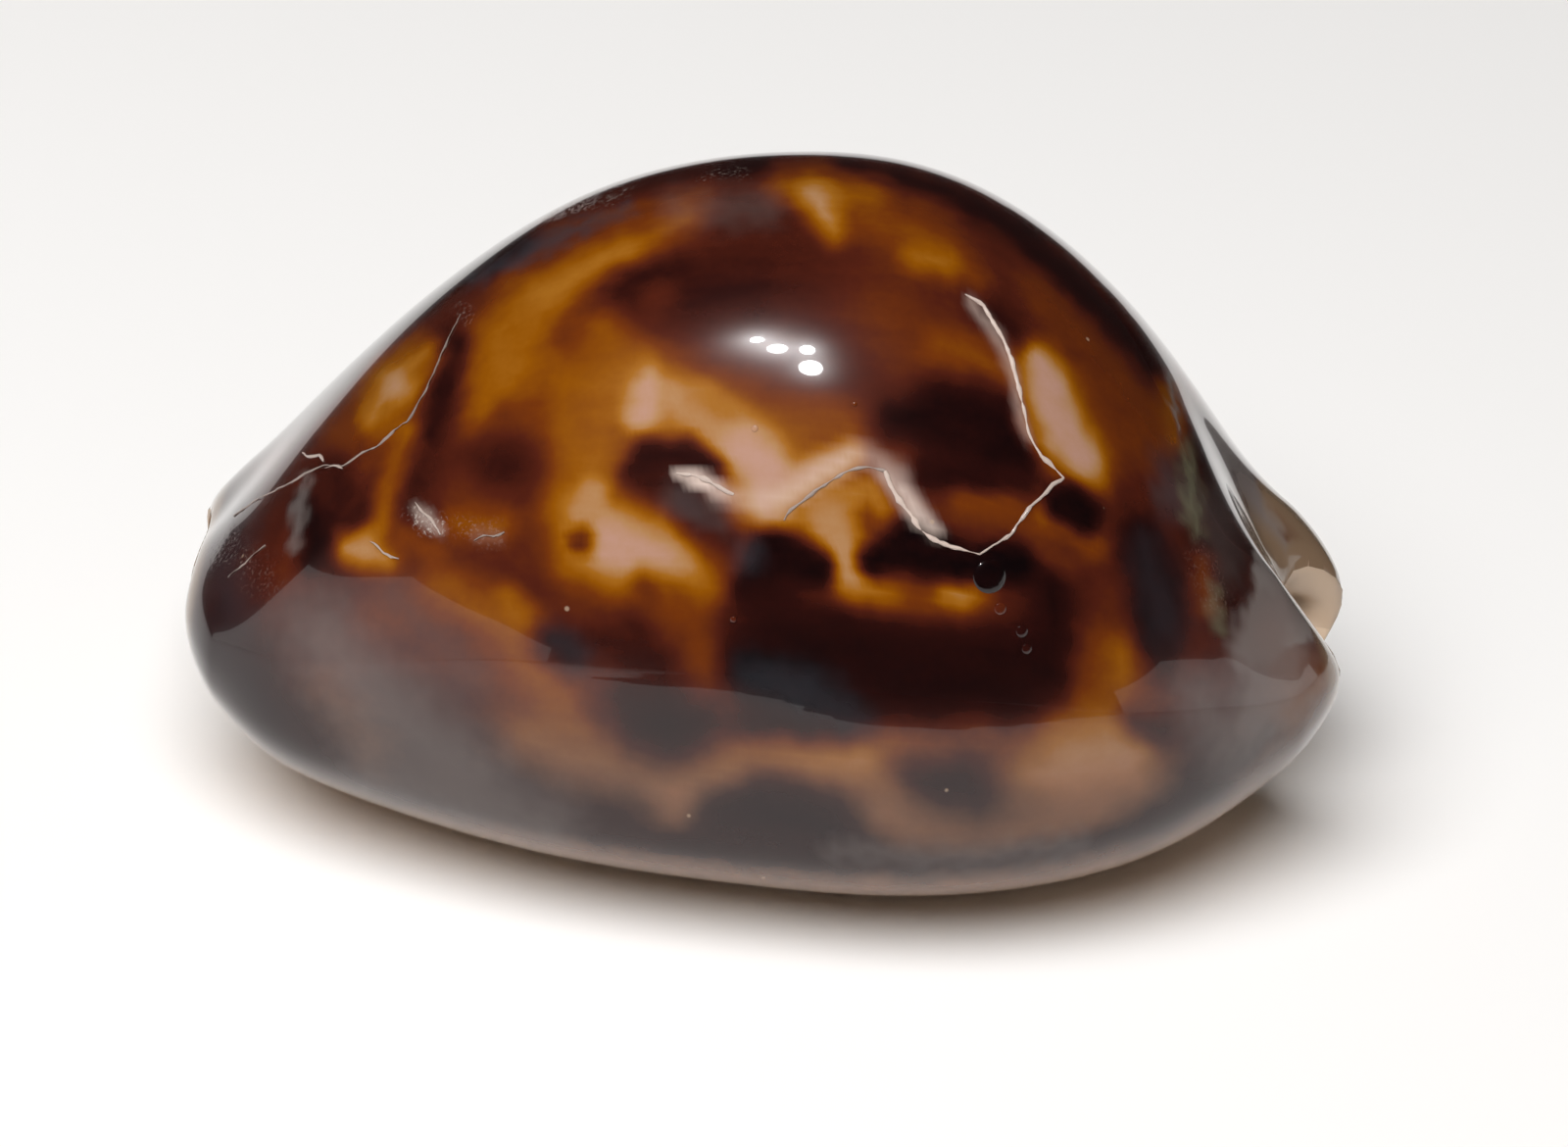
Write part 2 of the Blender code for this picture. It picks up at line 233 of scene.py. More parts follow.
MARKS_ON_MARGIN = (
    (0.52, 50, ((540, 670, 20), (565, 720, 30), (600, 755, 24))),
    (0.60, 36, ((545, 690, 10), (560, 720, 12))),
    (0.40, 50, ((420, 640, 20), (470, 680, 30), (520, 730, 20))),
    (0.24, 50, ((300, 640, 30), (340, 700, 50), (420, 740, 40))),
    # painted shade: the front end of the margin darkened to near black
    (0.08, 50, ((215, 660, 20), (245, 710, 24), (285, 760, 14))),
    (0.45, 40, ((330, 700, 16), (380, 760, 16))),
    (0.26, 50, ((430, 800, 14), (560, 830, 20), (680, 850, 18), (800, 870, 14))),
    (0.05, 26, ((562, 655, 12), (582, 664, 14))),
    (0.68, 34, ((535, 758, 8), (590, 775, 16), (650, 788, 18), (690, 812, 18))),
    (0.80, 34, ((700, 812, 14), (745, 788, 20), (800, 775, 22), (860, 775, 24), (890, 785, 24), (920, 815, 14))),
    (0.08, 36, ((638, 716, 18), (675, 736, 34), (715, 735, 18))),
    (0.04, 24, ((770, 735, 10), (860, 742, 10))),
    (0.09, 36, ((735, 828, 14), (780, 824, 30), (830, 838, 22), (880, 862, 8))),
    (0.60, 30, ((920, 765, 12), (1000, 762, 14))),
    (0.13, 40, ((938, 802, 20), (985, 800, 30), (1030, 792, 20))),
    (0.88, 46, ((1060, 790, 26), (1100, 785, 44), (1150, 775, 44), (1165, 800, 30))),
    (0.72, 34, ((905, 830, 14), (950, 852, 12), (1000, 862, 12), (1060, 850, 16), (1120, 834, 14))),
    (0.14, 22, ((1160, 738, 8), (1190, 744, 12))),
    (0.24, 50, ((1225, 700, 30), (1240, 770, 34), (1200, 830, 16))),
    (0.60, 36, ((1270, 790, 12), (1330, 720, 20), (1355, 690, 12))),
    (0.20, 24, ((690, 862, 6), (800, 878, 8), (960, 886, 8), (1120, 862, 8), (1230, 815, 8), (1290, 750, 8))),
    (0.72, 16, ((420, 838, 4), (560, 870, 6), (700, 892, 8), (820, 907, 8), (930, 912, 8), (1060, 902, 7),
                (1180, 872, 6), (1280, 815, 5))),
)
# On the sides that the photograph doesn't show, markings of the same kinds: how many, the half width and length in
# millimetres, and the tones from the outer part to the core, each with its share of the width
HIDDEN_MARKS = (
    (16, 5.5, 8.0, ((0.54, 1.0), (0.66, 0.6))),
    (20, 3.0, 6.0, ((0.62, 1.0), (0.94, 0.55))),
    (24, 2.9, 5.0, ((0.20, 1.0), (0.05, 0.7))),
    (14, 1.4, 8.0, ((0.68, 1.0),)),
    (26, 1.1, 1.5, ((0.12, 1.0),)),
)
HIDDEN_SEED, HIDDEN_FROM = 11, 6.0

# How much softer and wider than drawn the strokes are, and how far noise bends them, in pixels: in broad waves of
# 2.4 mm and fine ones of 1.3 mm
SOFTER, WIDER = 2.1, 3.5
BROAD_WAVE, FINE_WAVE = 2.4, 1.3
BENT_BROADLY, BENT_FINELY = 3, 4
# The slow change of the ground tone over the back, and its size in millimetres
MOTTLE, MOTTLE_SIZE = 0.12, 5.0
BROAD_SEED, FINE_SEED, MOTTLE_SEED, RAGGED_SEED = 3, 8, 20, 30

# Healed scars and cracks, which stand out as thin ridges: how white, and the places with the half width at each, in
# the photograph's pixels
SCARS = (
    (0.80, ((985, 300, 0.6), (1003, 310, 2.2), (1015, 330, 2.6), (1024, 345, 2.4), (1031, 362, 2.2), (1036, 380, 2.0),
            (1041, 400, 2.4), (1046, 420, 2.2), (1050, 440, 2.6), (1057, 455, 2.4), (1064, 466, 2.0), (1075, 476, 2.4),
            (1086, 487, 1.6))),
    (0.65, ((1086, 487, 1.6), (1074, 495, 2.2), (1062, 508, 1.8), (1050, 518, 1.6), (1042, 530, 1.6),
            (1032, 545, 1.8), (1016, 556, 2.0), (1000, 565, 1.2))),
    (0.75, ((690, 482, 0.8), (705, 484, 2.6), (722, 489, 3.4), (735, 498, 2.6), (748, 504, 1.0))),
    (0.45, ((800, 530, 0.8), (806, 520, 1.4), (818, 512, 1.4), (832, 500, 1.6), (846, 492, 1.4), (858, 484, 1.6),
            (872, 478, 1.4), (886, 476, 1.2), (903, 480, 1.8))),
    (0.85, ((903, 480, 1.8), (908, 494, 3.0), (918, 510, 3.6), (930, 526, 4.0), (938, 538, 3.6), (950, 549, 2.8),
            (968, 556, 2.4), (984, 561, 2.0), (1000, 565, 1.2))),
    (0.42, ((415, 430, 1.2), (400, 440, 1.4), (385, 455, 1.2), (368, 462, 1.0), (350, 475, 1.6), (330, 474, 1.2),
            (312, 482, 1.0), (300, 490, 1.2), (280, 500, 1.0), (260, 510, 1.2), (238, 526, 0.8))),
    (0.32, ((415, 430, 1.2), (430, 405, 1.0), (440, 385, 0.6), (455, 350, 0.9), (470, 320, 0.5))),
    # flakes beside the long cracks
    (0.65, ((308, 462, 0.5), (316, 466, 1.6), (325, 464, 1.8), (330, 470, 0.8))),
    (0.70, ((332, 478, 0.6), (340, 474, 1.9), (349, 477, 1.2))),
    (0.55, ((378, 552, 0.5), (386, 557, 1.7), (391, 564, 0.8), (399, 568, 1.9), (407, 570, 0.7))),
    (0.60, ((424, 512, 0.6), (428, 520, 1.7), (437, 528, 2.1), (443, 534, 1.6), (449, 545, 0.8))),
    (0.40, ((484, 551, 0.5), (494, 546, 1.4), (506, 547, 1.7), (514, 543, 0.6))),
    (0.35, ((232, 588, 0.4), (245, 578, 0.9), (258, 566, 0.6), (270, 556, 0.9))),
)
# Where a torn edge lays the pale layer under the glaze bare, and along the crack under the pale middle a whitish glow
# that is painted reflection: how white, softness and stroke
TORN_PATCHES_AND_GLOW = (
    (0.88, 14, ((690, 482, 3), (712, 489, 8), (738, 502, 5))),
    # partly the pale layer, partly painted reflection: the whitish glow along and above the crack
    (0.40, 30, ((735, 505, 5), (775, 512, 8), (800, 505, 6))),
    (0.40, 30, ((800, 508, 6), (835, 484, 8), (878, 462, 6))),
    (0.70, 20, ((903, 483, 4), (920, 500, 8), (938, 524, 8), (956, 542, 3))),
    # partly the pale layer, partly painted reflection at the crack's end
    (0.35, 26, ((890, 468, 6), (915, 484, 8))),
    (0.35, 16, ((990, 306, 3), (1016, 340, 4), (1034, 380, 3), (1040, 420, 3), (1050, 448, 2))),
    (0.45, 18, ((424, 518, 2), (434, 528, 6), (446, 541, 2))),
    (0.14, 22, ((486, 546, 2), (506, 547, 2))),
)
# Drops of glaze that ran and set: the places with their half width and tone
DRIPS = ((1010, 588, 17.0, 0.03), (1021, 621, 6.0, 0.30), (1043, 644, 6.0, 0.14), (1048, 662, 5.0, 0.16),
         (770, 437, 3.4, 0.9), (748, 632, 3.0, 0.3), (872, 412, 2.4, 0.4))
DRIP_FLATNESS, DRIP_SINKING = 0.28, 0.5

# In millimetres: the steps along a scar and how far it strays, and the low slow ripple of the glaze
SCAR_STEP, SCAR_UNEVENNESS = 0.3, 0.25
RIPPLE_HEIGHT, RIPPLE_LENGTH = 0.12, 12.0

# Patches drawn as the markings are, each its strength, softness and stroke: painted sheen in blue and green tints, and
# scuffs of real wear
PAINTED_BLUE_SHEEN = (
    (0.60, 20, ((480, 286, 5), (575, 238, 8), (640, 213, 4))),
    (0.30, 50, ((400, 610, 14), (480, 690, 18))),
    (0.22, 30, ((700, 515, 10), (730, 535, 8))),
    (0.40, 36, ((762, 565, 14),)),
    (0.35, 44, ((770, 690, 16), (820, 705, 22), (880, 736, 10))),
    (0.35, 40, ((1190, 470, 12), (1200, 520, 12))),
    (0.30, 60, ((1170, 560, 10), (1190, 640, 16))),
    (0.30, 40, ((565, 652, 12), (590, 668, 12))),
    (0.25, 44, ((236, 520, 22), (226, 570, 26), (240, 615, 20))),
)
PAINTED_GREEN_SHEEN = (
    (0.60, 26, ((1212, 455, 3), (1216, 500, 6), (1222, 540, 4))),
    (0.35, 20, ((1240, 600, 6), (1245, 640, 6))),
)
SCUFFS = (
    (1.0, 12, ((424, 526, 8), (438, 536, 10))),
    (0.25, 24, ((470, 540, 8), (500, 545, 8))),
    (0.45, 14, ((560, 222, 3), (600, 208, 5), (640, 196, 3))),
    (0.45, 14, ((720, 178, 3), (755, 176, 4))),
    (0.35, 12, ((470, 310, 5), (480, 325, 4))),
    (0.12, 30, ((1225, 570, 12), (1245, 610, 14))),
    (0.15, 30, ((230, 560, 20), (270, 590, 12))),
)
# The end of the outer lip, seen past the canal, which is tan throughout
BARE_LOBE = ((1.0, 10, ((1296, 492, 12), (1312, 515, 24), (1330, 560, 40), (1345, 620, 30))),)
LOBE_EDGE = (1.5, 5.0)          # how far across the shell it begins, in millimetres
# Where the glaze is milky, so that it turns the colour under it to a smoky grey, and painted reflection: grey veils on
# the lower margin and pale strips along the right end that stand in for light mirrored in the glaze
HAZE_AND_REFLECTION = (
    (0.45, 14, ((314, 484, 3), (304, 520, 7), (298, 556, 5))),
    (0.34, 90, ((330, 650, 30), (390, 720, 40), (480, 790, 26))),
    (0.34, 60, ((1225, 712, 20), (1255, 770, 20), (1290, 715, 20))),
    (0.35, 80, ((380, 790, 24), (450, 805, 26), (560, 840, 20))),
    (0.18, 50, ((1200, 500, 12), (1240, 520, 20), (1255, 580, 12))),
    (0.18, 50, ((690, 212, 12), (780, 210, 12))),
    (0.12, 30, ((690, 510, 14), (735, 530, 10))),
    (0.35, 40, ((850, 868, 4), (960, 876, 6), (1100, 860, 6))),
    (0.55, 50, ((1305, 650, 36), (1300, 700, 34), (1280, 740, 20))),
    (0.88, 8, ((1270, 470, 2), (1286, 510, 8), (1300, 560, 18), (1310, 600, 30), (1314, 625, 36))),
    (0.70, 24, ((1300, 625, 28), (1284, 655, 26))),
    (0.80, 10, ((1228, 418, 4), (1240, 440, 7), (1254, 462, 9), (1266, 482, 10), (1276, 505, 10), (1284, 530, 10))),
    (0.90, 6, ((1190, 345, 1), (1198, 400, 3), (1203, 440, 2))),
)
# The size of the ragged pieces along the edges of these patches, in millimetres
RAGGED_SIZE = 0.9
# Where the cream of the base begins and is full, as the cosine of the angle round the section from the slit, and the
# heights at which the smoky margin begins and is full, in millimetres
CREAM_EDGE, MARGIN_EDGE = (0.35, 0.75), (17.0, 10.0)

# Colours, as sRGB hex
DORSUM_COLOURS = ((0.0, "#0C0506"), (0.15, "#290D0A"), (0.3, "#4A1C10"), (0.45, "#682F0A"), (0.6, "#844A04"),
                  (0.72, "#965F1A"), (0.86, "#A37850"), (1.0, "#AE8676"))
# The margin's smoky colours: partly its own grey-lilac, partly painted reflection, the grey veil of the pale floor
# mirrored in the glaze
MARGIN_AND_VEIL_COLOURS = ((0.0, "#160D12"), (0.3, "#33211F"), (0.6, "#6A4A38"), (1.0, "#98694E"))
BASE_COLOURS = ((0.0, "#B08F76"), (0.5, "#D5BCA2"), (1.0, "#E2CFBA"))
# Colours of the milky haze, which is partly painted reflection, and of the painted blue and green sheen
MILKY_AND_MIRRORED_GREY, PAINTED_SHEEN_BLUE, PAINTED_SHEEN_GREEN = "#7F7672", "#363A40", "#7C7D62"
CANAL_TAN, GROOVE_TAN, SCAR_AND_GLOW_WHITE, SCUFF_GREY, SPECK_TAN = "#826A54", "#9A6E4C", "#D9C4B8", "#A8988E", "#B59C84"
BARE_CREAM = "#BFA68E"

# The glaze's patterns, in millimetres: the grain of the pigment, the length and width of the streaks it was laid down
# in, the flecks of a scuff with their depth, and the space between pale specks. Then how much grain and streaks add to
# the tone, and what is taken off it to keep its mean.
GRAIN, STREAK_LENGTH, STREAK_WIDTH = 0.5, 6.0, 1.4
FLECK, FLECK_DEPTH, SPECK_SPACE = 0.22, 0.03, 5.0
GRAIN_SHARE, STREAK_SHARE, MEAN_SHARE = 0.05, 0.11, 0.08


def linear(colour):
    """An sRGB hex colour as linear red, green, blue and alpha."""
    parts = [int(colour[i:i + 2], 16) / 255 for i in (1, 3, 5)]
    return tuple(p / 12.92 if p <= 0.04045 else ((p + 0.055) / 1.055) ** 2.4 for p in parts) + (1.0,)


def add(tree, kind, values=None, stops=None, **settings):
    """A node with its settings, with values or links for its inputs, and for a colour ramp its stops."""
    node = tree.nodes.new(kind)
    for name, value in settings.items():
        setattr(node, name, value)
    for key, value in (values or {}).items():
        if isinstance(value, bpy.types.NodeSocket):
            tree.links.new(value, node.inputs[key])
        else:
            node.inputs[key].default_value = value
    if stops:
        ramp = node.color_ramp.elements
        while len(ramp) < len(stops):
            ramp.new(0.5)
        for element, (place, colour) in zip(ramp, stops):
            element.position, element.color = place, linear(colour)
    return node


def camera_axes():
    """The directions right, up and back of the camera."""
    azimuth, elevation, roll = np.radians((CAMERA_AZIMUTH, CAMERA_ELEVATION, CAMERA_ROLL))
    back = np.array((np.sin(azimuth) * np.cos(elevation), -np.cos(azimuth) * np.cos(elevation), np.sin(elevation)))
    right = np.array((np.cos(azimuth), np.sin(azimuth), 0.0))
    up = np.cross(back, right)
    return right * np.cos(roll) + up * np.sin(roll), up * np.cos(roll) - right * np.sin(roll), back


RIGHT, UP, BACK = camera_axes()
CAMERA_PLACE = np.array(CAMERA_TARGET) + CAMERA_DISTANCE * BACK
PIXEL_FOCUS = FOCAL_LENGTH / SENSOR_WIDTH * PHOTO_SIZE[0]


def make_camera():
    data = bpy.data.cameras.new("camera")
    data.lens, data.sensor_width, data.sensor_fit = FOCAL_LENGTH, SENSOR_WIDTH, "HORIZONTAL"
    data.clip_start, data.clip_end = 0.01, 20.0
    camera = bpy.data.objects.new("camera", data)
    bpy.context.scene.collection.objects.link(camera)
    turn = Matrix(np.stack([RIGHT, UP, BACK], 1).tolist()).to_4x4()
    camera.matrix_world = Matrix.Translation(Vector(CAMERA_PLACE * MM)) @ turn
    bpy.context.scene.camera = camera


def smooth_through(knots, values, at):
    """A natural cubic spline through the values at the knots."""
    step = np.diff(knots)
    count = len(knots)
    system, rhs = np.eye(count), np.zeros(count)
    for i in range(1, count - 1):
        system[i, i - 1:i + 2] = step[i - 1], 2 * (step[i - 1] + step[i]), step[i]
        slopes = np.diff(values[i - 1:i + 2]) / step[i - 1:i + 1]
        rhs[i] = 6 * (slopes[1] - slopes[0])
    bend = np.linalg.solve(system, rhs)
    i = np.clip(np.searchsorted(knots, at) - 1, 0, count - 2)
    run, part = step[i], at - knots[i]
    slope = (values[i + 1] - values[i]) / run - run * (2 * bend[i] + bend[i + 1]) / 6
    return values[i] + part * (slope + part * (bend[i] / 2 + part * (bend[i + 1] - bend[i]) / (6 * run)))


def swing(x):
    """-1 at the front tips, 1 at the rear ones."""
    return np.arcsin(np.clip(np.asarray(x) / HALF_LENGTH, -1, 1)) * 2 / np.pi


def along(table, s):
    """The table's columns at the swings s."""
    table = np.array(table)
    knots = swing(table[:, 0])
    return [smooth_through(knots, column, s) for column in table.T[1:]]


def half_oval(angle, spire_side, lip_side, crest, middle, base, centre, roundness):
    """Across and up for an oval whose lower half is centred on the slit. The angle is 0 under it, pi on top."""
    low = np.cos(angle) > 0
    power = 2 / np.where(low, roundness, CREST_ROUNDNESS)
    across = np.abs(np.sin(angle)) ** power
    upright = np.abs(np.cos(angle)) ** power
    line = np.where(low, centre, 0.0)
    side = np.where(np.sin(angle) >= 0, lip_side, -spire_side)
    return line + (side - line) * across, middle + np.where(low, base - middle, crest - middle) * upright


def first_angle(reach, half_width, roundness):
    """The oval's angle at this reach from the slit's centre line."""
    return np.arcsin(np.clip(reach / half_width, 0, 1) ** (roundness / 2))


def end_share(x):
    """How much of the ends' own shape there is: none along the middle, all of it at the tips."""
    return np.clip((np.abs(x) - END_START) / (HALF_LENGTH - END_START), 0, 1) ** 2


def roof_groove(x, angle, y, line):
    """How deep the roof dips between the two tips."""
    depth = np.where(x > 0, REAR_GROOVE, FRONT_GROOVE) * end_share(x)
    return depth * np.exp(-((y - line) / GROOVE_HALF_WIDTH) ** 2) * (np.cos(angle) < 0)


def end_shift(x, angle):
    """How far the rim is drawn back at the roof and at the underside, so that the lips stand out as two tips."""
    notch = np.where(x > 0, REAR_NOTCH, FRONT_NOTCH) * np.clip(-np.cos(angle), 0, 1) ** 2
    undercut = np.where(x > 0, REAR_UNDERCUT, FRONT_UNDERCUT) * np.clip(np.cos(angle), 0, 1) ** 2
    short = SPIRE_SIDE_SHORT * np.clip(-np.sin(angle), 0, 1) ** 2
    return -np.sign(x) * end_share(x) * (notch + undercut + short)


def rest_flat(z):
    """Cuts the base off at zero, with a soft start to the flat spot."""
    soft = REST_SOFTNESS
    return np.where(z > soft, z, np.where(z < -soft, 0.0, (z + soft) ** 2 / (4 * soft)))


def oval_run(s, sides, heights, reach, roundness, count, line):
    """Points round one oval of the section, from the outer lip over the top to the spire side's lip."""
    start = first_angle(reach, sides[1] - line, roundness)
    stop = 2 * np.pi - first_angle(reach, sides[0] + line, roundness)
    angle = start + (stop - start) * np.linspace(0, 1, count)[None, :]
    y, z = half_oval(angle, *sides, *heights, line, roundness)
    return angle, y, z


def rounded(points, middle, full):
    """The wall thinned towards its middle at both ends, which rounds its rim off."""
    return middle + (points - middle) * full[..., None]


def lip_edge(outside, inside, side, line, gap, full):
    """The rounded edge of one lip, without its teeth, and the way that its grooves cut in."""
    turn = np.pi * np.arange(1, POINTS_ON_LIP + 1)[None, :] / (POINTS_ON_LIP + 1)
    share = ((1 - np.cos(turn)) / 2)[..., None]
    points = outside[:, None, :] * (1 - share) + inside[:, None, :] * share
    middle = (outside[:, 1:2] + inside[:, 1:2]) / 2
    bulge = np.maximum(side * (middle - line) - gap, 0.0) * full
    points[..., 1] -= side * bulge * np.sin(turn)
    way = np.stack([0 * turn, side * np.sin(turn), np.cos(turn / 2) ** 2], -1) + 0 * points
    return points, way


def sections(s):
    """A closed ring of points for each swing, with the way that grooves between teeth cut in at each, the outside's
    angle round, each point's place along, and how far the outside is canal and all of it toothed."""
    s = s[:, None]
    spire_side, lip_side, crest, margin, base = along(OUTSIDE, s)
    hollow_spire, hollow_lip, roof, widest, floor = along(HOLLOW, s)
    line, gap, lip = along(SLIT, s)
    x = HALF_LENGTH * np.sin(np.pi * s / 2)

    angle, y, z = oval_run(s, (spire_side, lip_side), (crest, margin, base), gap + lip, BASE_ROUNDNESS,
                           POINTS_OUTSIDE, line)
    z = rest_flat(z) - roof_groove(x, angle, y, line)
    outside = np.stack([x + end_shift(x, angle), y, z], -1)
    hollow_angle, y, z = oval_run(s, (hollow_spire, hollow_lip), (roof, widest, floor), gap + lip / 2,
                                  CAVITY_ROUNDNESS, POINTS_OUTSIDE, line)
    inside = np.stack([x + end_shift(x, hollow_angle), y, z], -1)

    from_tip = np.clip(1 - (HALF_LENGTH - np.abs(x)) / RIM_ROUNDING, 0, 1)
    full = np.sqrt(np.clip(1 - from_tip ** 2, 0, 1))
    middle = (outside + inside) / 2
    outside, inside = rounded(outside, middle, full), rounded(inside, middle, full)
    inside = inside[:, ::(POINTS_OUTSIDE - 1) // (POINTS_INSIDE - 1)]

    depth = np.array(SPIRE_SIDE_DEPTH)
    spire_share = np.interp(x, depth[:, 0], depth[:, 1])
    spire_lip, spire_way = lip_edge(outside[:, -1], inside[:, -1], -1, line, gap, full)
    outer_lip, outer_way = lip_edge(outside[:, 0], inside[:, 0], 1, line, gap, full)
    from_outer = np.linalg.norm(outside - outside[:, :1], axis=-1)
    from_spire = np.linalg.norm(outside - outside[:, -1:], axis=-1)
    on_base = (np.clip(1 - from_outer / OUTER_LIP_REACH, 0, 1) ** 1.5
               + np.clip(1 - from_spire / SPIRE_SIDE_REACH, 0, 1) ** 1.5 * spire_share)
    way = np.concatenate([on_base[..., None] * (0, 0, 1), spire_way * spire_share[..., None],
                          0 * inside, outer_way[:, ::-1]], 1)
    rings = np.concatenate([outside, spire_lip, inside[:, ::-1], outer_lip[:, ::-1]], 1)
    canal = smooth_step(0.25, 0.6, end_share(x) * np.exp(-((outside[..., 1] - line) / GROOVE_HALF_WIDTH) ** 2)
                        * (np.cos(angle) < 0) * (x > 0))
    canal = np.maximum(canal, smooth_step(0.55, 0.9, from_tip))
    toothed = np.concatenate([on_base, 0 * spire_way[..., 0] + spire_share, 0 * inside[..., 0],
                              0 * outer_way[..., 0] + 1], 1)
    return rings, way, angle, np.repeat(x, rings.shape[1], 1), canal, toothed


def in_cad_box(rings):
    """The rings fitted to the solid's own box, which its coarser faces make a hair smaller."""
    low, high = rings.reshape(-1, 3).min(0), rings.reshape(-1, 3).max(0)
    cad_low, cad_high = (np.array(corner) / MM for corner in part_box("shell"))
    return cad_low + (rings - low) / (high - low) * (cad_high - cad_low)


def lofted(rings):
    """Vertices and faces of a tube through the rings."""
    count, around = rings.shape[:2]
    index = np.arange(count * around).reshape(count, around)
    after = np.roll(index, -1, 1)
    quads = np.stack([index[:-1], after[:-1], after[1:], index[1:]], -1).reshape(-1, 4)
    return rings.reshape(-1, 3), quads


def smooth_step(edge, other, value):
    part = np.clip((value - edge) / (other - edge), 0, 1)
    return part * part * (3 - 2 * part)


def sight_line(pixel):
    """The direction in which the camera sees this pixel of the photograph."""
    across, down = (pixel[0] - PHOTO_SIZE[0] / 2) / PIXEL_FOCUS, (pixel[1] - PHOTO_SIZE[1] / 2) / PIXEL_FOCUS
    way = RIGHT * across - UP * down - BACK
    return way / np.linalg.norm(way)


def on_shell(surface, pixel):
    """The place on the shell that the photograph shows at this pixel, and the surface's direction there."""
    way = Vector(sight_line(pixel))
    place, direction, _, _ = surface.ray_cast(Vector(CAMERA_PLACE), way)
    return np.array(place), np.array(direction if direction.dot(way) < 0 else -direction)


def seen_at(points):
    """Where the camera sees the points, in the photograph's pixels."""
    away = points - CAMERA_PLACE
    depth = -away @ BACK
    return np.stack([PHOTO_SIZE[0] / 2 + PIXEL_FOCUS * (away @ RIGHT) / depth,
                     PHOTO_SIZE[1] / 2 - PIXEL_FOCUS * (away @ UP) / depth], -1)


def outside_stroke(points, stroke):
    """How far each point is outside the stroke, whose points carry their half width last."""
    stroke = np.array(stroke, float)
    if len(stroke) == 1:
        stroke = np.repeat(stroke, 2, 0)
    nearest = np.full(len(points), np.inf)
    for a, b in zip(stroke[:-1], stroke[1:]):
        run = (b - a)[:-1]
        part = np.clip((points - a[:-1]) @ run / max(run @ run, 1e-9), 0, 1)
        gap = np.linalg.norm(points - a[:-1] - part[:, None] * run, axis=1) - (a[-1] + part * (b[-1] - a[-1]))
        nearest = np.minimum(nearest, gap)
    return nearest


def painted(tone, points, marks, softer=1.0, wider=0.0):
    """The tone after the marks are drawn over it, in their order."""
    for value, softness, stroke in marks:
        cover = 1 - smooth_step(-softer * softness / 2, softer * softness / 2, outside_stroke(points, stroke) - wider)
        tone = tone + (value - tone) * cover
    return tone


def smooth_noise(points, scale, seed):
    """Three smooth noises at each point, from about -1 to 1, with features of that size in millimetres."""
    noise.seed_set(seed)
    return np.array([noise.noise_vector(Vector(p) / scale) for p in points])


def hidden_marks(points, facing):
    """Strokes of the same kinds as the photograph's, in millimetres, spread over the sides that it doesn't show."""
    chance = np.random.RandomState(HIDDEN_SEED)
    hidden = points[(facing < 0.1) & (points[:, 2] > HIDDEN_FROM)]
    marks = []
    for count, half_width, length, layers in HIDDEN_MARKS:
        for _ in range(count):
            level = hidden[np.abs(hidden[:, 0] - chance.uniform(-0.9, 0.9) * HALF_LENGTH) < 1.0]
            start = level[chance.randint(len(level))]
            way = chance.normal(size=3) * (1.0, 0.6, 0.6)
            way *= length * chance.uniform(0.4, 1.1) / np.linalg.norm(way)
            bend = np.cross(way, chance.normal(size=3)) * 0.06
            widths = half_width * chance.uniform(0.4, 1.1, 3)
            for tone, share in layers:
                marks.append((tone, half_width * share * 0.8, ((*start, widths[0] * share),
                              (*(start + way / 2 + bend), widths[1] * share), (*(start + way), widths[2] * share))))
    return marks


def markings(points, facing):
    """The tone of the markings at each point of the outside, with the few strokes of painted shade among them."""
    broad, fine = smooth_noise(points, BROAD_WAVE, BROAD_SEED), smooth_noise(points, FINE_WAVE, FINE_SEED)
    base = BASE_TONE + MOTTLE * smooth_noise(points, MOTTLE_SIZE, MOTTLE_SEED)[:, 0]
    shown = painted(base, seen_at(points) + BENT_BROADLY * broad[:, :2] + BENT_FINELY * fine[:, :2],
                    MARKS_ON_CREST + MARKS_IN_FRONT + MARKS_IN_MIDDLE + MARKS_BEHIND + MARKS_LOW + MARKS_ON_MARGIN,
                    SOFTER, WIDER)
    unseen = painted(base, points + 0.5 * broad + 0.2 * fine, hidden_marks(points, facing))
    share = smooth_step(-0.02, 0.1, facing)
    return np.clip(unseen + (shown - unseen) * share, 0, 1)


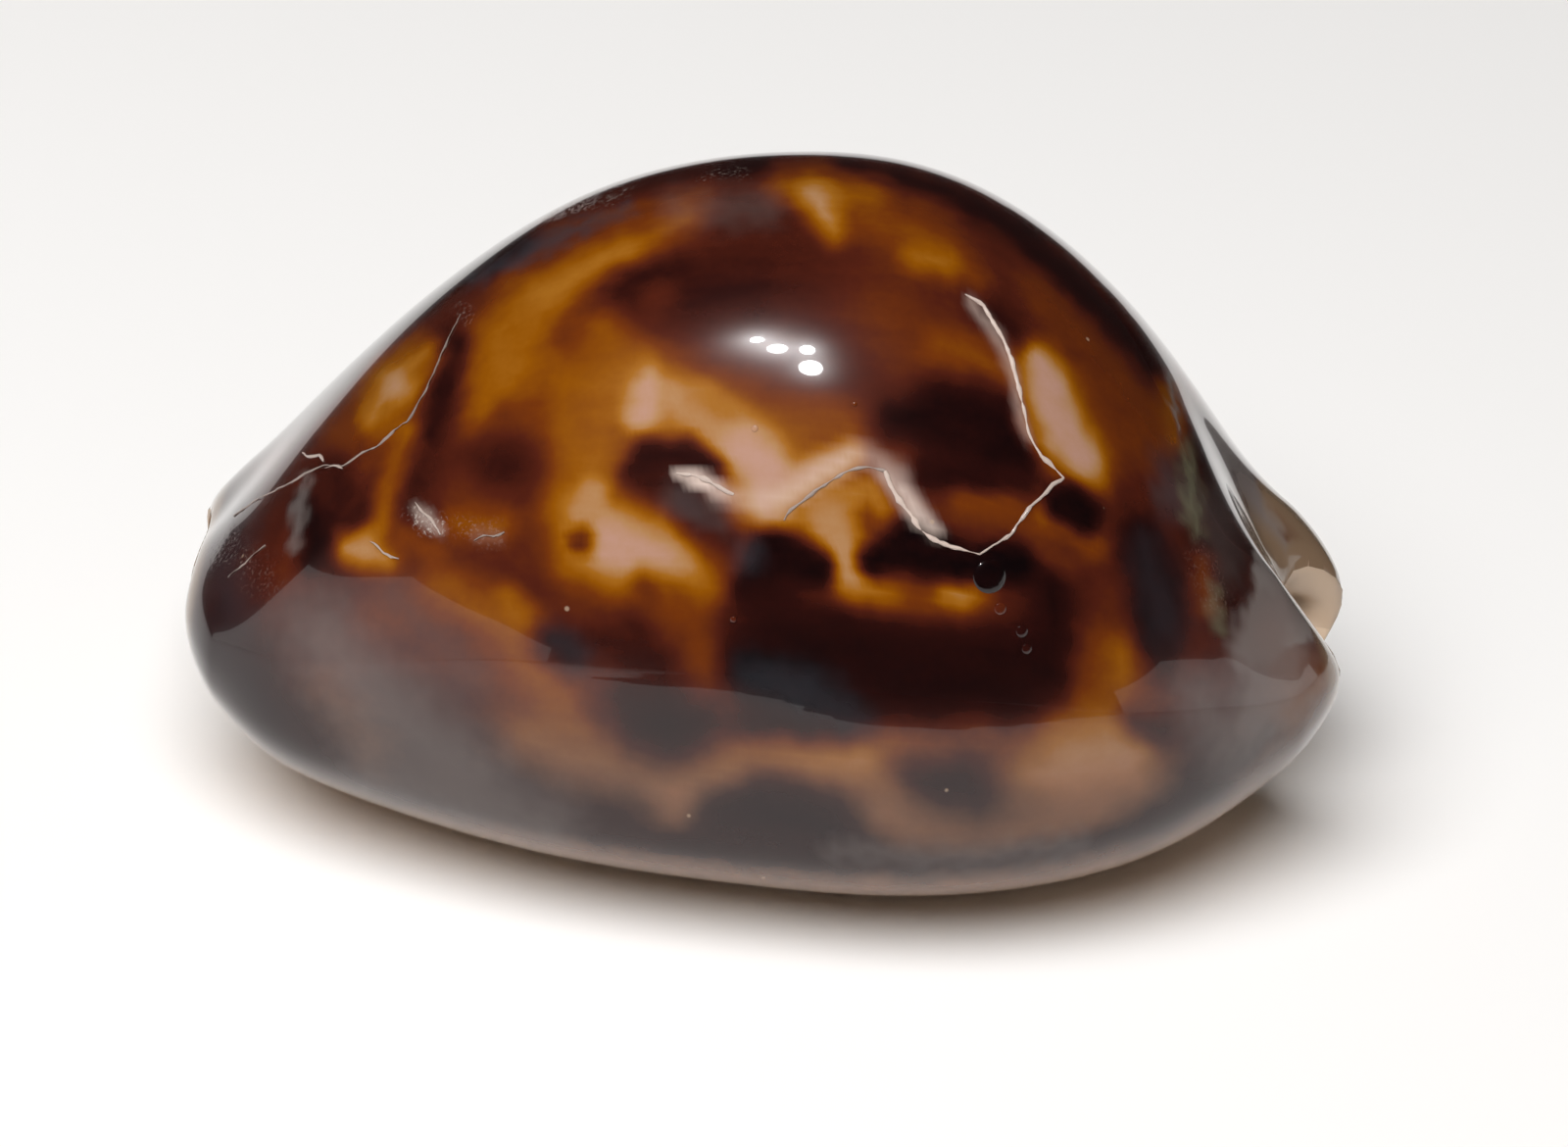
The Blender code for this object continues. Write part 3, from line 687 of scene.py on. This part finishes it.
def glazed_aragonite():
    """Aragonite under the shell's own glaze, laid down wet: deep colour, a mirror gloss and a soft glow round it."""
    material = bpy.data.materials.new("glazed_aragonite")
    material.use_nodes = True
    tree = material.node_tree
    shader = tree.nodes["Principled BSDF"]
    kept = {name: add(tree, "ShaderNodeAttribute", attribute_name=name).outputs["Fac"]
            for name in ("tone", "margin", "haze_and_reflection", "painted_blue_sheen", "painted_green_sheen", "underside", "canal", "groove",
                         "toothed", "scar_white", "scuff")}
    place = add(tree, "ShaderNodeTexCoord").outputs["Object"]
    grain = add(tree, "ShaderNodeTexNoise", {"Vector": place, "Scale": 1 / (GRAIN * MM), "Detail": 2.0}).outputs["Fac"]
    laid = add(tree, "ShaderNodeMapping", {"Vector": place, "Rotation": (0.0, 0.35, 0.2),
               "Scale": (1 / (STREAK_LENGTH * MM), 1 / (STREAK_WIDTH * MM), 1 / (STREAK_WIDTH * MM))}).outputs[0]
    streaks = add(tree, "ShaderNodeTexNoise", {"Vector": laid, "Scale": 1.0, "Detail": 3.0}).outputs["Fac"]
    uneven = add(tree, "ShaderNodeMath", {0: streaks, 1: STREAK_SHARE, 2: kept["tone"]},
                 operation="MULTIPLY_ADD").outputs[0]
    uneven = add(tree, "ShaderNodeMath", {0: grain, 1: GRAIN_SHARE, 2: uneven}, operation="MULTIPLY_ADD").outputs[0]
    tone = add(tree, "ShaderNodeMath", {0: uneven, 1: MEAN_SHARE}, operation="SUBTRACT", use_clamp=True).outputs[0]
    dorsum, smoky, cream = (add(tree, "ShaderNodeValToRGB", {0: tone}, colours).outputs[0]
                            for colours in (DORSUM_COLOURS, MARGIN_AND_VEIL_COLOURS, BASE_COLOURS))
    stained = add(tree, "ShaderNodeMath", {0: kept["groove"], 1: kept["toothed"]}, operation="MULTIPLY").outputs[0]

    # scuffs, drawn as flecks coarse enough to show, and pale specks under the glaze
    flecks = add(tree, "ShaderNodeTexNoise", {"Vector": place, "Scale": 1 / (FLECK * MM), "Detail": 3.0}).outputs["Fac"]
    worn = add(tree, "ShaderNodeMapRange", {"Value": flecks, "From Min": 0.54, "From Max": 0.68}).outputs[0]
    scuffed = add(tree, "ShaderNodeMath", {0: worn, 1: kept["scuff"]}, operation="MULTIPLY").outputs[0]
    cells = add(tree, "ShaderNodeTexVoronoi", {"Vector": place, "Scale": 1 / (SPECK_SPACE * MM)}).outputs["Distance"]
    speck = add(tree, "ShaderNodeMapRange", {"Value": cells, "From Min": 0.036, "From Max": 0.02, "To Min": 0.0,
                "To Max": 0.55}).outputs[0]

    # The layers over the markings: the margin's smoky colours and the milky haze are partly painted reflection, the
    # blue and green tints painted sheen, and the pale scar layer partly a painted glow
    colour = dorsum
    for share, layer in ((kept["margin"], smoky), (kept["haze_and_reflection"], linear(MILKY_AND_MIRRORED_GREY)),
                         (kept["painted_blue_sheen"], linear(PAINTED_SHEEN_BLUE)), (kept["painted_green_sheen"], linear(PAINTED_SHEEN_GREEN)),
                         (kept["underside"], cream), (kept["canal"], linear(CANAL_TAN)),
                         (stained, linear(GROOVE_TAN)), (kept["scar_white"], linear(SCAR_AND_GLOW_WHITE)),
                         (scuffed, linear(SCUFF_GREY)), (speck, linear(SPECK_TAN))):
        colour = add(tree, "ShaderNodeMix", {0: share, 6: colour, 7: layer}, data_type="RGBA").outputs[2]
    tree.links.new(colour, shader.inputs["Base Color"])

    rough = add(tree, "ShaderNodeMath", {0: scuffed, 1: 0.25, 2: 0.18}, operation="MULTIPLY_ADD").outputs[0]
    tree.links.new(rough, shader.inputs["Roughness"])
    glaze_rough = add(tree, "ShaderNodeMath", {0: scuffed, 1: 0.3, 2: 0.025}, operation="MULTIPLY_ADD").outputs[0]
    tree.links.new(glaze_rough, shader.inputs["Coat Roughness"])
    shader.inputs["IOR"].default_value = 1.53
    shader.inputs["Specular IOR Level"].default_value = 0.2
    shader.inputs["Coat Weight"].default_value = 1.0
    shader.inputs["Coat IOR"].default_value = 1.37
    raised = add(tree, "ShaderNodeMath", {0: scuffed, 1: FLECK_DEPTH * MM}, operation="MULTIPLY").outputs[0]
    bump = add(tree, "ShaderNodeBump", {"Height": raised, "Strength": 0.8, "Distance": 1.0}).outputs[0]
    tree.links.new(bump, shader.inputs["Normal"])
    tree.links.new(bump, shader.inputs["Coat Normal"])
    return material


def bare_aragonite():
    """The unglazed inside of the shell: matt and pale, a soft light in the slit."""
    material = bpy.data.materials.new("bare_aragonite")
    material.use_nodes = True
    shader = material.node_tree.nodes["Principled BSDF"]
    shader.inputs["Base Color"].default_value = linear(BARE_CREAM)
    shader.inputs["Roughness"].default_value = 0.45
    shader.inputs["IOR"].default_value = 1.58
    return material


def shell_surface_tree():
    """The nodes that cut the teeth, ripple the glaze, raise the scars, set the drops down and give both materials."""
    tree = bpy.data.node_groups.new("shell_surface", "GeometryNodeTree")
    face = tree.interface
    face.new_socket("Geometry", in_out="INPUT", socket_type="NodeSocketGeometry")
    for name in ("Tooth pitch", "Toothed half length", "Groove depth", "Ripple height", "Ripple length",
                 "Scar step", "Scar unevenness", "Drip flatness", "Drip sinking"):
        face.new_socket(name, in_out="INPUT", socket_type="NodeSocketFloat")
    for name in ("Scar lines", "Drips"):
        face.new_socket(name, in_out="INPUT", socket_type="NodeSocketObject")
    for name in ("Outside", "Inside"):
        face.new_socket(name, in_out="INPUT", socket_type="NodeSocketMaterial")
    face.new_socket("Geometry", in_out="OUTPUT", socket_type="NodeSocketGeometry")
    given = add(tree, "NodeGroupInput").outputs
    place = add(tree, "GeometryNodeInputNamedAttribute", {"Name": "place_along"}, data_type="FLOAT").outputs[0]
    way = add(tree, "GeometryNodeInputNamedAttribute", {"Name": "groove_way"}, data_type="FLOAT_VECTOR").outputs[0]
    unglazed = add(tree, "GeometryNodeInputNamedAttribute", {"Name": "bare"}, data_type="FLOAT").outputs[0]
    ripply = add(tree, "GeometryNodeInputNamedAttribute", {"Name": "ripply"}, data_type="FLOAT").outputs[0]

    turns = add(tree, "ShaderNodeMath", {0: add(tree, "ShaderNodeMath", {0: place, 1: given["Toothed half length"]},
                operation="SUBTRACT").outputs[0], 1: given["Tooth pitch"]}, operation="DIVIDE").outputs[0]
    angle = add(tree, "ShaderNodeMath", {0: turns, 1: 2 * np.pi}, operation="MULTIPLY").outputs[0]
    cosine = add(tree, "ShaderNodeMath", {0: angle}, operation="COSINE").outputs[0]
    wave = add(tree, "ShaderNodeMath", {0: cosine, 1: -0.5, 2: 0.5}, operation="MULTIPLY_ADD").outputs[0]
    size = add(tree, "ShaderNodeMath", {0: place}, operation="ABSOLUTE").outputs[0]
    half_pitch = add(tree, "ShaderNodeMath", {0: given["Tooth pitch"], 1: 0.5}, operation="MULTIPLY").outputs[0]
    limit = add(tree, "ShaderNodeMath", {0: given["Toothed half length"], 1: half_pitch}, operation="ADD").outputs[0]
    fade = add(tree, "ShaderNodeMapRange", {"Value": size, "From Min": limit, "From Max": given["Toothed half length"],
               "To Min": 0.0, "To Max": 1.0}).outputs[0]
    cut = add(tree, "ShaderNodeMath", {0: wave, 1: fade}, operation="MULTIPLY").outputs[0]
    depth = add(tree, "ShaderNodeMath", {0: cut, 1: given["Groove depth"]}, operation="MULTIPLY").outputs[0]
    grooves = add(tree, "ShaderNodeVectorMath", {0: way, 3: depth}, operation="SCALE").outputs[0]
    kept = add(tree, "GeometryNodeStoreNamedAttribute", {"Geometry": given["Geometry"], "Name": "groove",
               "Value": cut}, data_type="FLOAT", domain="POINT").outputs[0]
    toothed = add(tree, "GeometryNodeSetPosition", {"Geometry": kept, "Offset": grooves}).outputs[0]

    finer = add(tree, "ShaderNodeMath", {0: 1.0, 1: given["Ripple length"]}, operation="DIVIDE").outputs[0]
    ripple = add(tree, "ShaderNodeTexNoise", {"Scale": finer, "Detail": 1.0}, noise_dimensions="3D").outputs["Fac"]
    inwards = add(tree, "ShaderNodeMath", {0: ripple, 1: given["Ripple height"]}, operation="MULTIPLY").outputs[0]
    masked = add(tree, "ShaderNodeMath", {0: inwards, 1: ripply}, operation="MULTIPLY").outputs[0]
    normal = add(tree, "GeometryNodeInputNormal").outputs[0]
    push = add(tree, "ShaderNodeMath", {0: masked, 1: -1.0}, operation="MULTIPLY").outputs[0]
    offset = add(tree, "ShaderNodeVectorMath", {0: normal, 3: push}, operation="SCALE").outputs[0]
    rippled = add(tree, "GeometryNodeSetPosition", {"Geometry": toothed, "Offset": offset}).outputs[0]

    half_width = add(tree, "GeometryNodeInputNamedAttribute", {"Name": "half_width"}, data_type="FLOAT").outputs[0]
    outwards = add(tree, "GeometryNodeInputNamedAttribute", {"Name": "outwards"}, data_type="FLOAT_VECTOR").outputs[0]
    lines = add(tree, "GeometryNodeObjectInfo", {"Object": given["Scar lines"]}).outputs["Geometry"]
    curves = add(tree, "GeometryNodeMeshToCurve", {"Mesh": lines}).outputs[0]
    curves = add(tree, "GeometryNodeResampleCurve", {"Curve": curves, "Length": given["Scar step"]},
                 mode="LENGTH").outputs[0]
    grit = add(tree, "ShaderNodeTexNoise", {"Scale": 1 / (0.8 * MM), "Detail": 2.0})
    thickness = add(tree, "ShaderNodeMapRange", {"Value": grit.outputs["Fac"], "From Min": 0.35, "From Max": 0.65,
                    "To Min": 0.25, "To Max": 1.55}).outputs[0]
    radius = add(tree, "ShaderNodeMath", {0: half_width, 1: thickness}, operation="MULTIPLY").outputs[0]
    sinking = add(tree, "ShaderNodeMath", {0: radius, 1: -0.6}, operation="MULTIPLY").outputs[0]
    sunk = add(tree, "ShaderNodeVectorMath", {0: outwards, 3: sinking}, operation="SCALE").outputs[0]
    wander = add(tree, "ShaderNodeVectorMath", {0: grit.outputs["Color"], 1: (0.5, 0.5, 0.5)},
                 operation="SUBTRACT").outputs[0]
    wander = add(tree, "ShaderNodeVectorMath", {0: wander, 3: given["Scar unevenness"]}, operation="SCALE").outputs[0]
    sunk = add(tree, "ShaderNodeVectorMath", {0: sunk, 1: wander}, operation="ADD").outputs[0]
    curves = add(tree, "GeometryNodeSetPosition", {"Geometry": curves, "Offset": sunk}).outputs[0]
    outline = add(tree, "GeometryNodeCurvePrimitiveCircle", {"Resolution": 8, "Radius": 1.0}).outputs[0]
    ridges = add(tree, "GeometryNodeCurveToMesh", {"Curve": curves, "Profile Curve": outline, "Scale": radius,
                 "Fill Caps": True}).outputs[0]
    paleness = add(tree, "GeometryNodeInputNamedAttribute", {"Name": "paleness"}, data_type="FLOAT").outputs[0]
    ridges = add(tree, "GeometryNodeStoreNamedAttribute", {"Geometry": ridges, "Name": "scar_white",
                 "Value": paleness}, data_type="FLOAT", domain="POINT").outputs[0]

    drops = add(tree, "GeometryNodeObjectInfo", {"Object": given["Drips"]}).outputs["Geometry"]
    spots = add(tree, "GeometryNodeMeshToPoints", {"Mesh": drops}).outputs[0]
    flat = add(tree, "ShaderNodeMath", {0: half_width, 1: given["Drip flatness"]}, operation="MULTIPLY").outputs[0]
    size_of = add(tree, "ShaderNodeCombineXYZ", {0: half_width, 1: half_width, 2: flat}).outputs[0]
    deep = add(tree, "ShaderNodeMath", {0: flat, 1: given["Drip sinking"]}, operation="MULTIPLY").outputs[0]
    deep = add(tree, "ShaderNodeMath", {0: deep, 1: -1.0}, operation="MULTIPLY").outputs[0]
    lower = add(tree, "ShaderNodeVectorMath", {0: outwards, 3: deep}, operation="SCALE").outputs[0]
    spots = add(tree, "GeometryNodeSetPosition", {"Geometry": spots, "Offset": lower}).outputs[0]
    spots = add(tree, "GeometryNodeStoreNamedAttribute", {"Geometry": spots, "Name": "tone", "Value": paleness},
                data_type="FLOAT", domain="POINT").outputs[0]
    facing = add(tree, "FunctionNodeAlignRotationToVector", {"Vector": outwards}, axis="Z").outputs[0]
    drop = add(tree, "GeometryNodeMeshUVSphere", {"Segments": 24, "Rings": 12, "Radius": 1.0}).outputs[0]
    drops = add(tree, "GeometryNodeInstanceOnPoints", {"Points": spots, "Instance": drop, "Rotation": facing,
                "Scale": size_of}).outputs[0]
    joined = add(tree, "GeometryNodeJoinGeometry", {"Geometry": rippled})
    tree.links.new(ridges, joined.inputs[0])
    tree.links.new(drops, joined.inputs[0])

    real = add(tree, "GeometryNodeRealizeInstances", {"Geometry": joined.outputs[0]}).outputs[0]
    real = add(tree, "GeometryNodeSetShadeSmooth", {"Geometry": real}).outputs[0]
    within = add(tree, "GeometryNodeSetMaterial", {"Geometry": real, "Material": given["Inside"]}).outputs[0]
    outer = add(tree, "FunctionNodeCompare", {0: unglazed, 1: 0.5}, data_type="FLOAT", operation="LESS_THAN").outputs[0]
    both = add(tree, "GeometryNodeSetMaterial", {"Geometry": within, "Selection": outer, "Material": given["Outside"]})
    add(tree, "NodeGroupOutput", {0: both.outputs[0]})
    return tree


def finished(piece, tree, values):
    """The piece with its node tree worked out to a plain mesh."""
    modifier = piece.modifiers.new(tree.name, "NODES")
    modifier.node_group = tree
    for socket in tree.interface.items_tree:
        if socket.in_out == "INPUT" and socket.name in values:
            modifier[socket.identifier] = values[socket.name]
    worked_out = piece.evaluated_get(bpy.context.evaluated_depsgraph_get())
    mesh = bpy.data.meshes.new_from_object(worked_out)
    piece.modifiers.remove(modifier)
    for index in reversed(range(len(mesh.materials))):
        if mesh.materials[index] is None:
            mesh.materials.pop(index=index)
    piece.data = mesh
    return piece


def on_surface(name, surface, strokes):
    """Points joined by edges on the shell, for strokes of (paleness, places), with their half widths and normals."""
    mesh = bpy.data.meshes.new(name)
    places, edges, widths, pale, outwards = [], [], [], [], []
    for paleness, stroke in strokes:
        edges += [(len(places) + i, len(places) + i + 1) for i in range(len(stroke) - 1)]
        for x, y, half_width in stroke:
            place, direction = on_shell(surface, (x, y))
            places.append(place * MM)
            outwards.append(direction)
            widths.append(half_width * CAMERA_DISTANCE / PIXEL_FOCUS * MM)
            pale.append(paleness)
    mesh.from_pydata([tuple(p) for p in places], edges, [])
    mesh.attributes.new("half_width", "FLOAT", "POINT").data.foreach_set("value", widths)
    mesh.attributes.new("paleness", "FLOAT", "POINT").data.foreach_set("value", pale)
    mesh.attributes.new("outwards", "FLOAT_VECTOR", "POINT").data.foreach_set("vector", np.ravel(outwards))
    points = bpy.data.objects.new(name, mesh)
    bpy.context.scene.collection.objects.link(points)
    return points


def make_shell():
    steps = np.linspace(-1, 1, SECTIONS)
    rings, way, angle, place_along, canal, toothed = sections((steps + swing(HALF_LENGTH * steps)) / 2)
    rings = in_cad_box(rings)
    vertices, quads = lofted(rings)
    around = rings.shape[1]
    column = np.tile(np.arange(around), len(rings))
    is_outside = column < POINTS_OUTSIDE
    surface = BVHTree.FromPolygons(vertices.tolist(), quads.tolist())

    low = np.cos(angle)
    lengthwise, round_it = np.gradient(rings[:, :POINTS_OUTSIDE], axis=(0, 1))
    normals = np.cross(round_it, lengthwise).reshape(-1, 3)
    normals /= np.maximum(np.linalg.norm(normals, axis=1, keepdims=True), 1e-9)
    to_camera = CAMERA_PLACE - vertices[is_outside]
    facing = (normals * to_camera).sum(1) / np.linalg.norm(to_camera, axis=1)
    tone = np.full(len(vertices), 0.5)
    tone[is_outside] = markings(vertices[is_outside], facing)
    underside = np.ones(len(vertices))
    underside[is_outside] = smooth_step(*CREAM_EDGE, low).ravel()
    # the smoky margin, full towards the bottom, which is partly painted reflection
    margin = np.zeros(len(vertices))
    margin[is_outside] = smooth_step(*MARGIN_EDGE, vertices[is_outside, 2])
    bare = np.where((column > POINTS_OUTSIDE + POINTS_ON_LIP + 1) & (column < around - POINTS_ON_LIP - 2), 1.0, 0.0)
    ripply = np.where(is_outside, 1.0, 0.0)
    ripply[is_outside] *= 1 - smooth_step(0.2, 0.6, low).ravel()
    shown = smooth_step(0.0, 0.15, facing)
    pixels = seen_at(vertices[is_outside])
    ragged = smooth_noise(vertices[is_outside], RAGGED_SIZE, RAGGED_SEED)[:, :2]
    beyond = smooth_step(*LOBE_EDGE, vertices[is_outside, 1])
    outside_only = {"canal": np.maximum(canal.ravel(), painted(0.0, pixels, BARE_LOBE) * beyond)}
    # Patches drawn where the camera sees them: the pale torn layer with a painted glow, painted blue and green sheen,
    # scuffs of wear, and milky haze with painted reflection
    for name, patches, reach in (("scar_white", TORN_PATCHES_AND_GLOW, 3), ("painted_blue_sheen", PAINTED_BLUE_SHEEN, 9),
                                 ("painted_green_sheen", PAINTED_GREEN_SHEEN, 9), ("scuff", SCUFFS, 9), ("haze_and_reflection", HAZE_AND_REFLECTION, 8)):
        outside_only[name] = painted(0.0, pixels + reach * ragged, patches) * shown

    data = bpy.data.meshes.new("cowrie_shell")
    data.from_pydata((vertices * MM).tolist(), [], quads.tolist())
    kept = {"tone": tone, "underside": underside, "margin": margin, "bare": bare, "ripply": ripply,
            "place_along": place_along.ravel() * MM, "toothed": toothed.ravel()}
    for name, values in outside_only.items():
        kept[name] = np.zeros(len(vertices))
        kept[name][is_outside] = values
    for name, values in kept.items():
        data.attributes.new(name, "FLOAT", "POINT").data.foreach_set("value", values.astype(np.float32))
    data.attributes.new("groove_way", "FLOAT_VECTOR", "POINT").data.foreach_set(
        "vector", way.reshape(-1).astype(np.float32))
    mesh = bmesh.new()
    mesh.from_mesh(data)
    bmesh.ops.remove_doubles(mesh, verts=mesh.verts, dist=0.00001)
    bmesh.ops.holes_fill(mesh, edges=[edge for edge in mesh.edges if edge.is_boundary])
    bmesh.ops.recalc_face_normals(mesh, faces=mesh.faces)
    mesh.to_mesh(data)
    mesh.free()
    shell = bpy.data.objects.new("cowrie_shell", data)
    bpy.context.scene.collection.objects.link(shell)
    scars = on_surface("scar_lines", surface, SCARS)
    drips = on_surface("drips", surface, [(tone, ((x, y, half_width),)) for x, y, half_width, tone in DRIPS])
    finished(shell, shell_surface_tree(), {
        "Tooth pitch": TOOTH_PITCH * MM,
        "Toothed half length": TOOTH_PITCH * (OUTER_LIP_TEETH - 1) / 2 * MM,
        "Groove depth": GROOVE_DEPTH * MM,
        "Ripple height": RIPPLE_HEIGHT * MM,
        "Ripple length": RIPPLE_LENGTH * MM,
        "Scar step": SCAR_STEP * MM,
        "Scar unevenness": SCAR_UNEVENNESS * MM,
        "Drip flatness": DRIP_FLATNESS,
        "Drip sinking": DRIP_SINKING,
        "Scar lines": scars,
        "Drips": drips,
        "Outside": glazed_aragonite(),
        "Inside": bare_aragonite(),
    })
    for used in (scars, drips):
        bpy.data.objects.remove(used)
    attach(shell, "root")
    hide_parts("shell")
    return surface


# The stage, in millimetres: low pale cards standing on both sides, and dark cloth lying beyond the pale floor that
# the glaze mirrors. Only the gloss sees them. Each is a plane through its corners.
SIDE_CARDS = (
    ((620, -420, 0), (620, 250, 0), (620, 250, 110), (620, 155, 122), (620, 10, 110), (620, -180, 120),
     (620, -420, 60)),
    ((-620, -1100, 0), (-620, 60, 0), (-620, 60, 180), (-620, -330, 216), (-620, -919, 92), (-620, -1100, 60)),
)
DARK_CLOTHS = (
    ((-200, -700, 1), (-119, -276, 1), (-49, -280, 1), (-17, -206, 1), (10, -146, 1), (43, -131, 1), (109, -166, 1),
     (215, -229, 1), (620, -400, 1), (620, -1400, 1), (-300, -1400, 1)),
    ((-1400, 230, 1), (-100, 235, 1), (-20, 300, 1), (0, 420, 1), (50, 420, 1), (66, 200, 1), (64, 130, 1),
     (62, 88, 1), (80, 76, 1), (150, 110, 1), (300, 140, 1), (618, 250, 1), (1400, 500, 1), (1400, 1400, 1),
     (-1400, 1400, 1)),
)
MIRRORED_CARD = 1.1
# The cloth's torn edge: the length of its uneven pieces, and how far they reach as a share of their distance
FRAY_STEP, FRAY_SHARE, FRAY_SEED = 14.0, 0.03, 4


def stage_plane(name, corners, material):
    data = bpy.data.meshes.new(name)
    data.from_pydata([tuple(v * MM for v in corner) for corner in corners], [], [tuple(range(len(corners)))])
    data.materials.append(material)
    plane = bpy.data.objects.new(name, data)
    bpy.context.scene.collection.objects.link(plane)
    return plane


def frayed(corners, seed):
    """The cloth's corners with its straight edges broken into short uneven ones."""
    chance = np.random.RandomState(seed)
    corners = np.array(corners, float)
    out = []
    for here, there in zip(corners, np.roll(corners, -1, 0)):
        count = int(np.clip(np.linalg.norm(there - here) / FRAY_STEP, 1, 12))
        across = np.array((here[1] - there[1], there[0] - here[0], 0.0))
        across /= np.linalg.norm(across)
        for part in np.arange(count) / count:
            place = here + part * (there - here)
            reach = FRAY_SHARE * np.linalg.norm(place[:2]) * chance.uniform(-1, 1) if part > 0 else 0.0
            out.append(tuple(place + reach * across))
    return out


def make_stage():
    pale = bpy.data.materials.new("pale_card")
    pale.use_nodes = True
    shader = pale.node_tree.nodes["Principled BSDF"]
    shader.inputs["Base Color"].default_value = linear("#F4F2F0")
    shader.inputs["Roughness"].default_value = 0.9
    shader.inputs["Specular IOR Level"].default_value = 0.1
    stage_plane("floor", ((-1500, -1500, 0), (1500, -1500, 0), (1500, 1500, 0), (-1500, 1500, 0)), pale)
    lit = bpy.data.materials.new("lit_card")
    lit.use_nodes = True
    shader = lit.node_tree.nodes["Principled BSDF"]
    shader.inputs["Base Color"].default_value = linear("#000000")
    shader.inputs["Emission Color"].default_value = linear("#F4F2F0")
    shader.inputs["Emission Strength"].default_value = MIRRORED_CARD
    dark = bpy.data.materials.new("dark_cloth")
    dark.use_nodes = True
    shader = dark.node_tree.nodes["Principled BSDF"]
    shader.inputs["Base Color"].default_value = linear("#141212")
    shader.inputs["Roughness"].default_value = 0.95
    shader.inputs["Specular IOR Level"].default_value = 0.0
    planes = [stage_plane("side_card", corners, lit) for corners in SIDE_CARDS]
    planes += [stage_plane("dark_cloth", frayed(corners, FRAY_SEED), dark) for corners in DARK_CLOTHS]
    for plane in planes:
        plane.visible_camera = plane.visible_diffuse = plane.visible_shadow = False


def area_light(name, place, aim, size, power, in_gloss):
    """A round light at a place, turned to the point it aims at, in millimetres."""
    data = bpy.data.lights.new(name, "AREA")
    data.shape = "DISK"
    data.size, data.energy = size * MM, power
    light = bpy.data.objects.new(name, data)
    bpy.context.scene.collection.objects.link(light)
    way = Vector(aim) - Vector(place)
    light.matrix_world = Matrix.Translation(Vector(place) * MM) @ way.to_track_quat("-Z", "Y").to_matrix().to_4x4()
    light.visible_glossy = in_gloss
    return light


# The small lights: the pixel at which the glaze mirrors each, and its size, with their distance in millimetres
HIGHLIGHTS = ((770, 342, 18.0), (794, 354, 32.0), (827, 358, 32.0), (829, 371, 52.0))
HIGHLIGHT_DISTANCE, HIGHLIGHT_POWER = 700.0, 0.52
SOFTBOX_PLACE, SOFTBOX_SIZE, SOFTBOX_POWER = (-150, -350, 750), 900, 11.0


def light_scene(surface):
    """A broad soft light from above that the glaze doesn't mirror, and the small lights that it does."""
    area_light("softbox", SOFTBOX_PLACE, (0, 0, 15), SOFTBOX_SIZE, SOFTBOX_POWER, False)
    for number, (x, y, size) in enumerate(HIGHLIGHTS):
        place, facing = on_shell(surface, (x, y))
        seen = -sight_line((x, y))
        mirrored = 2 * (facing @ seen) * facing - seen
        small = area_light(f"small_light_{number}", place + mirrored * HIGHLIGHT_DISTANCE, place, size,
                           HIGHLIGHT_POWER, True)
        small.visible_diffuse = False
    world = bpy.data.worlds.new("world")
    world.use_nodes = True
    tree = world.node_tree
    background = tree.nodes["Background"]
    camera_ray = add(tree, "ShaderNodeLightPath").outputs["Is Camera Ray"]
    colour = add(tree, "ShaderNodeMix", {0: camera_ray, 6: linear("#1C1A1A"), 7: linear("#FFFFFF")},
                 data_type="RGBA").outputs[2]
    tree.links.new(colour, background.inputs["Color"])
    bpy.context.scene.world = world


bpy.context.scene.view_settings.view_transform = "Standard"
make_camera()
light_scene(make_shell())
make_stage()
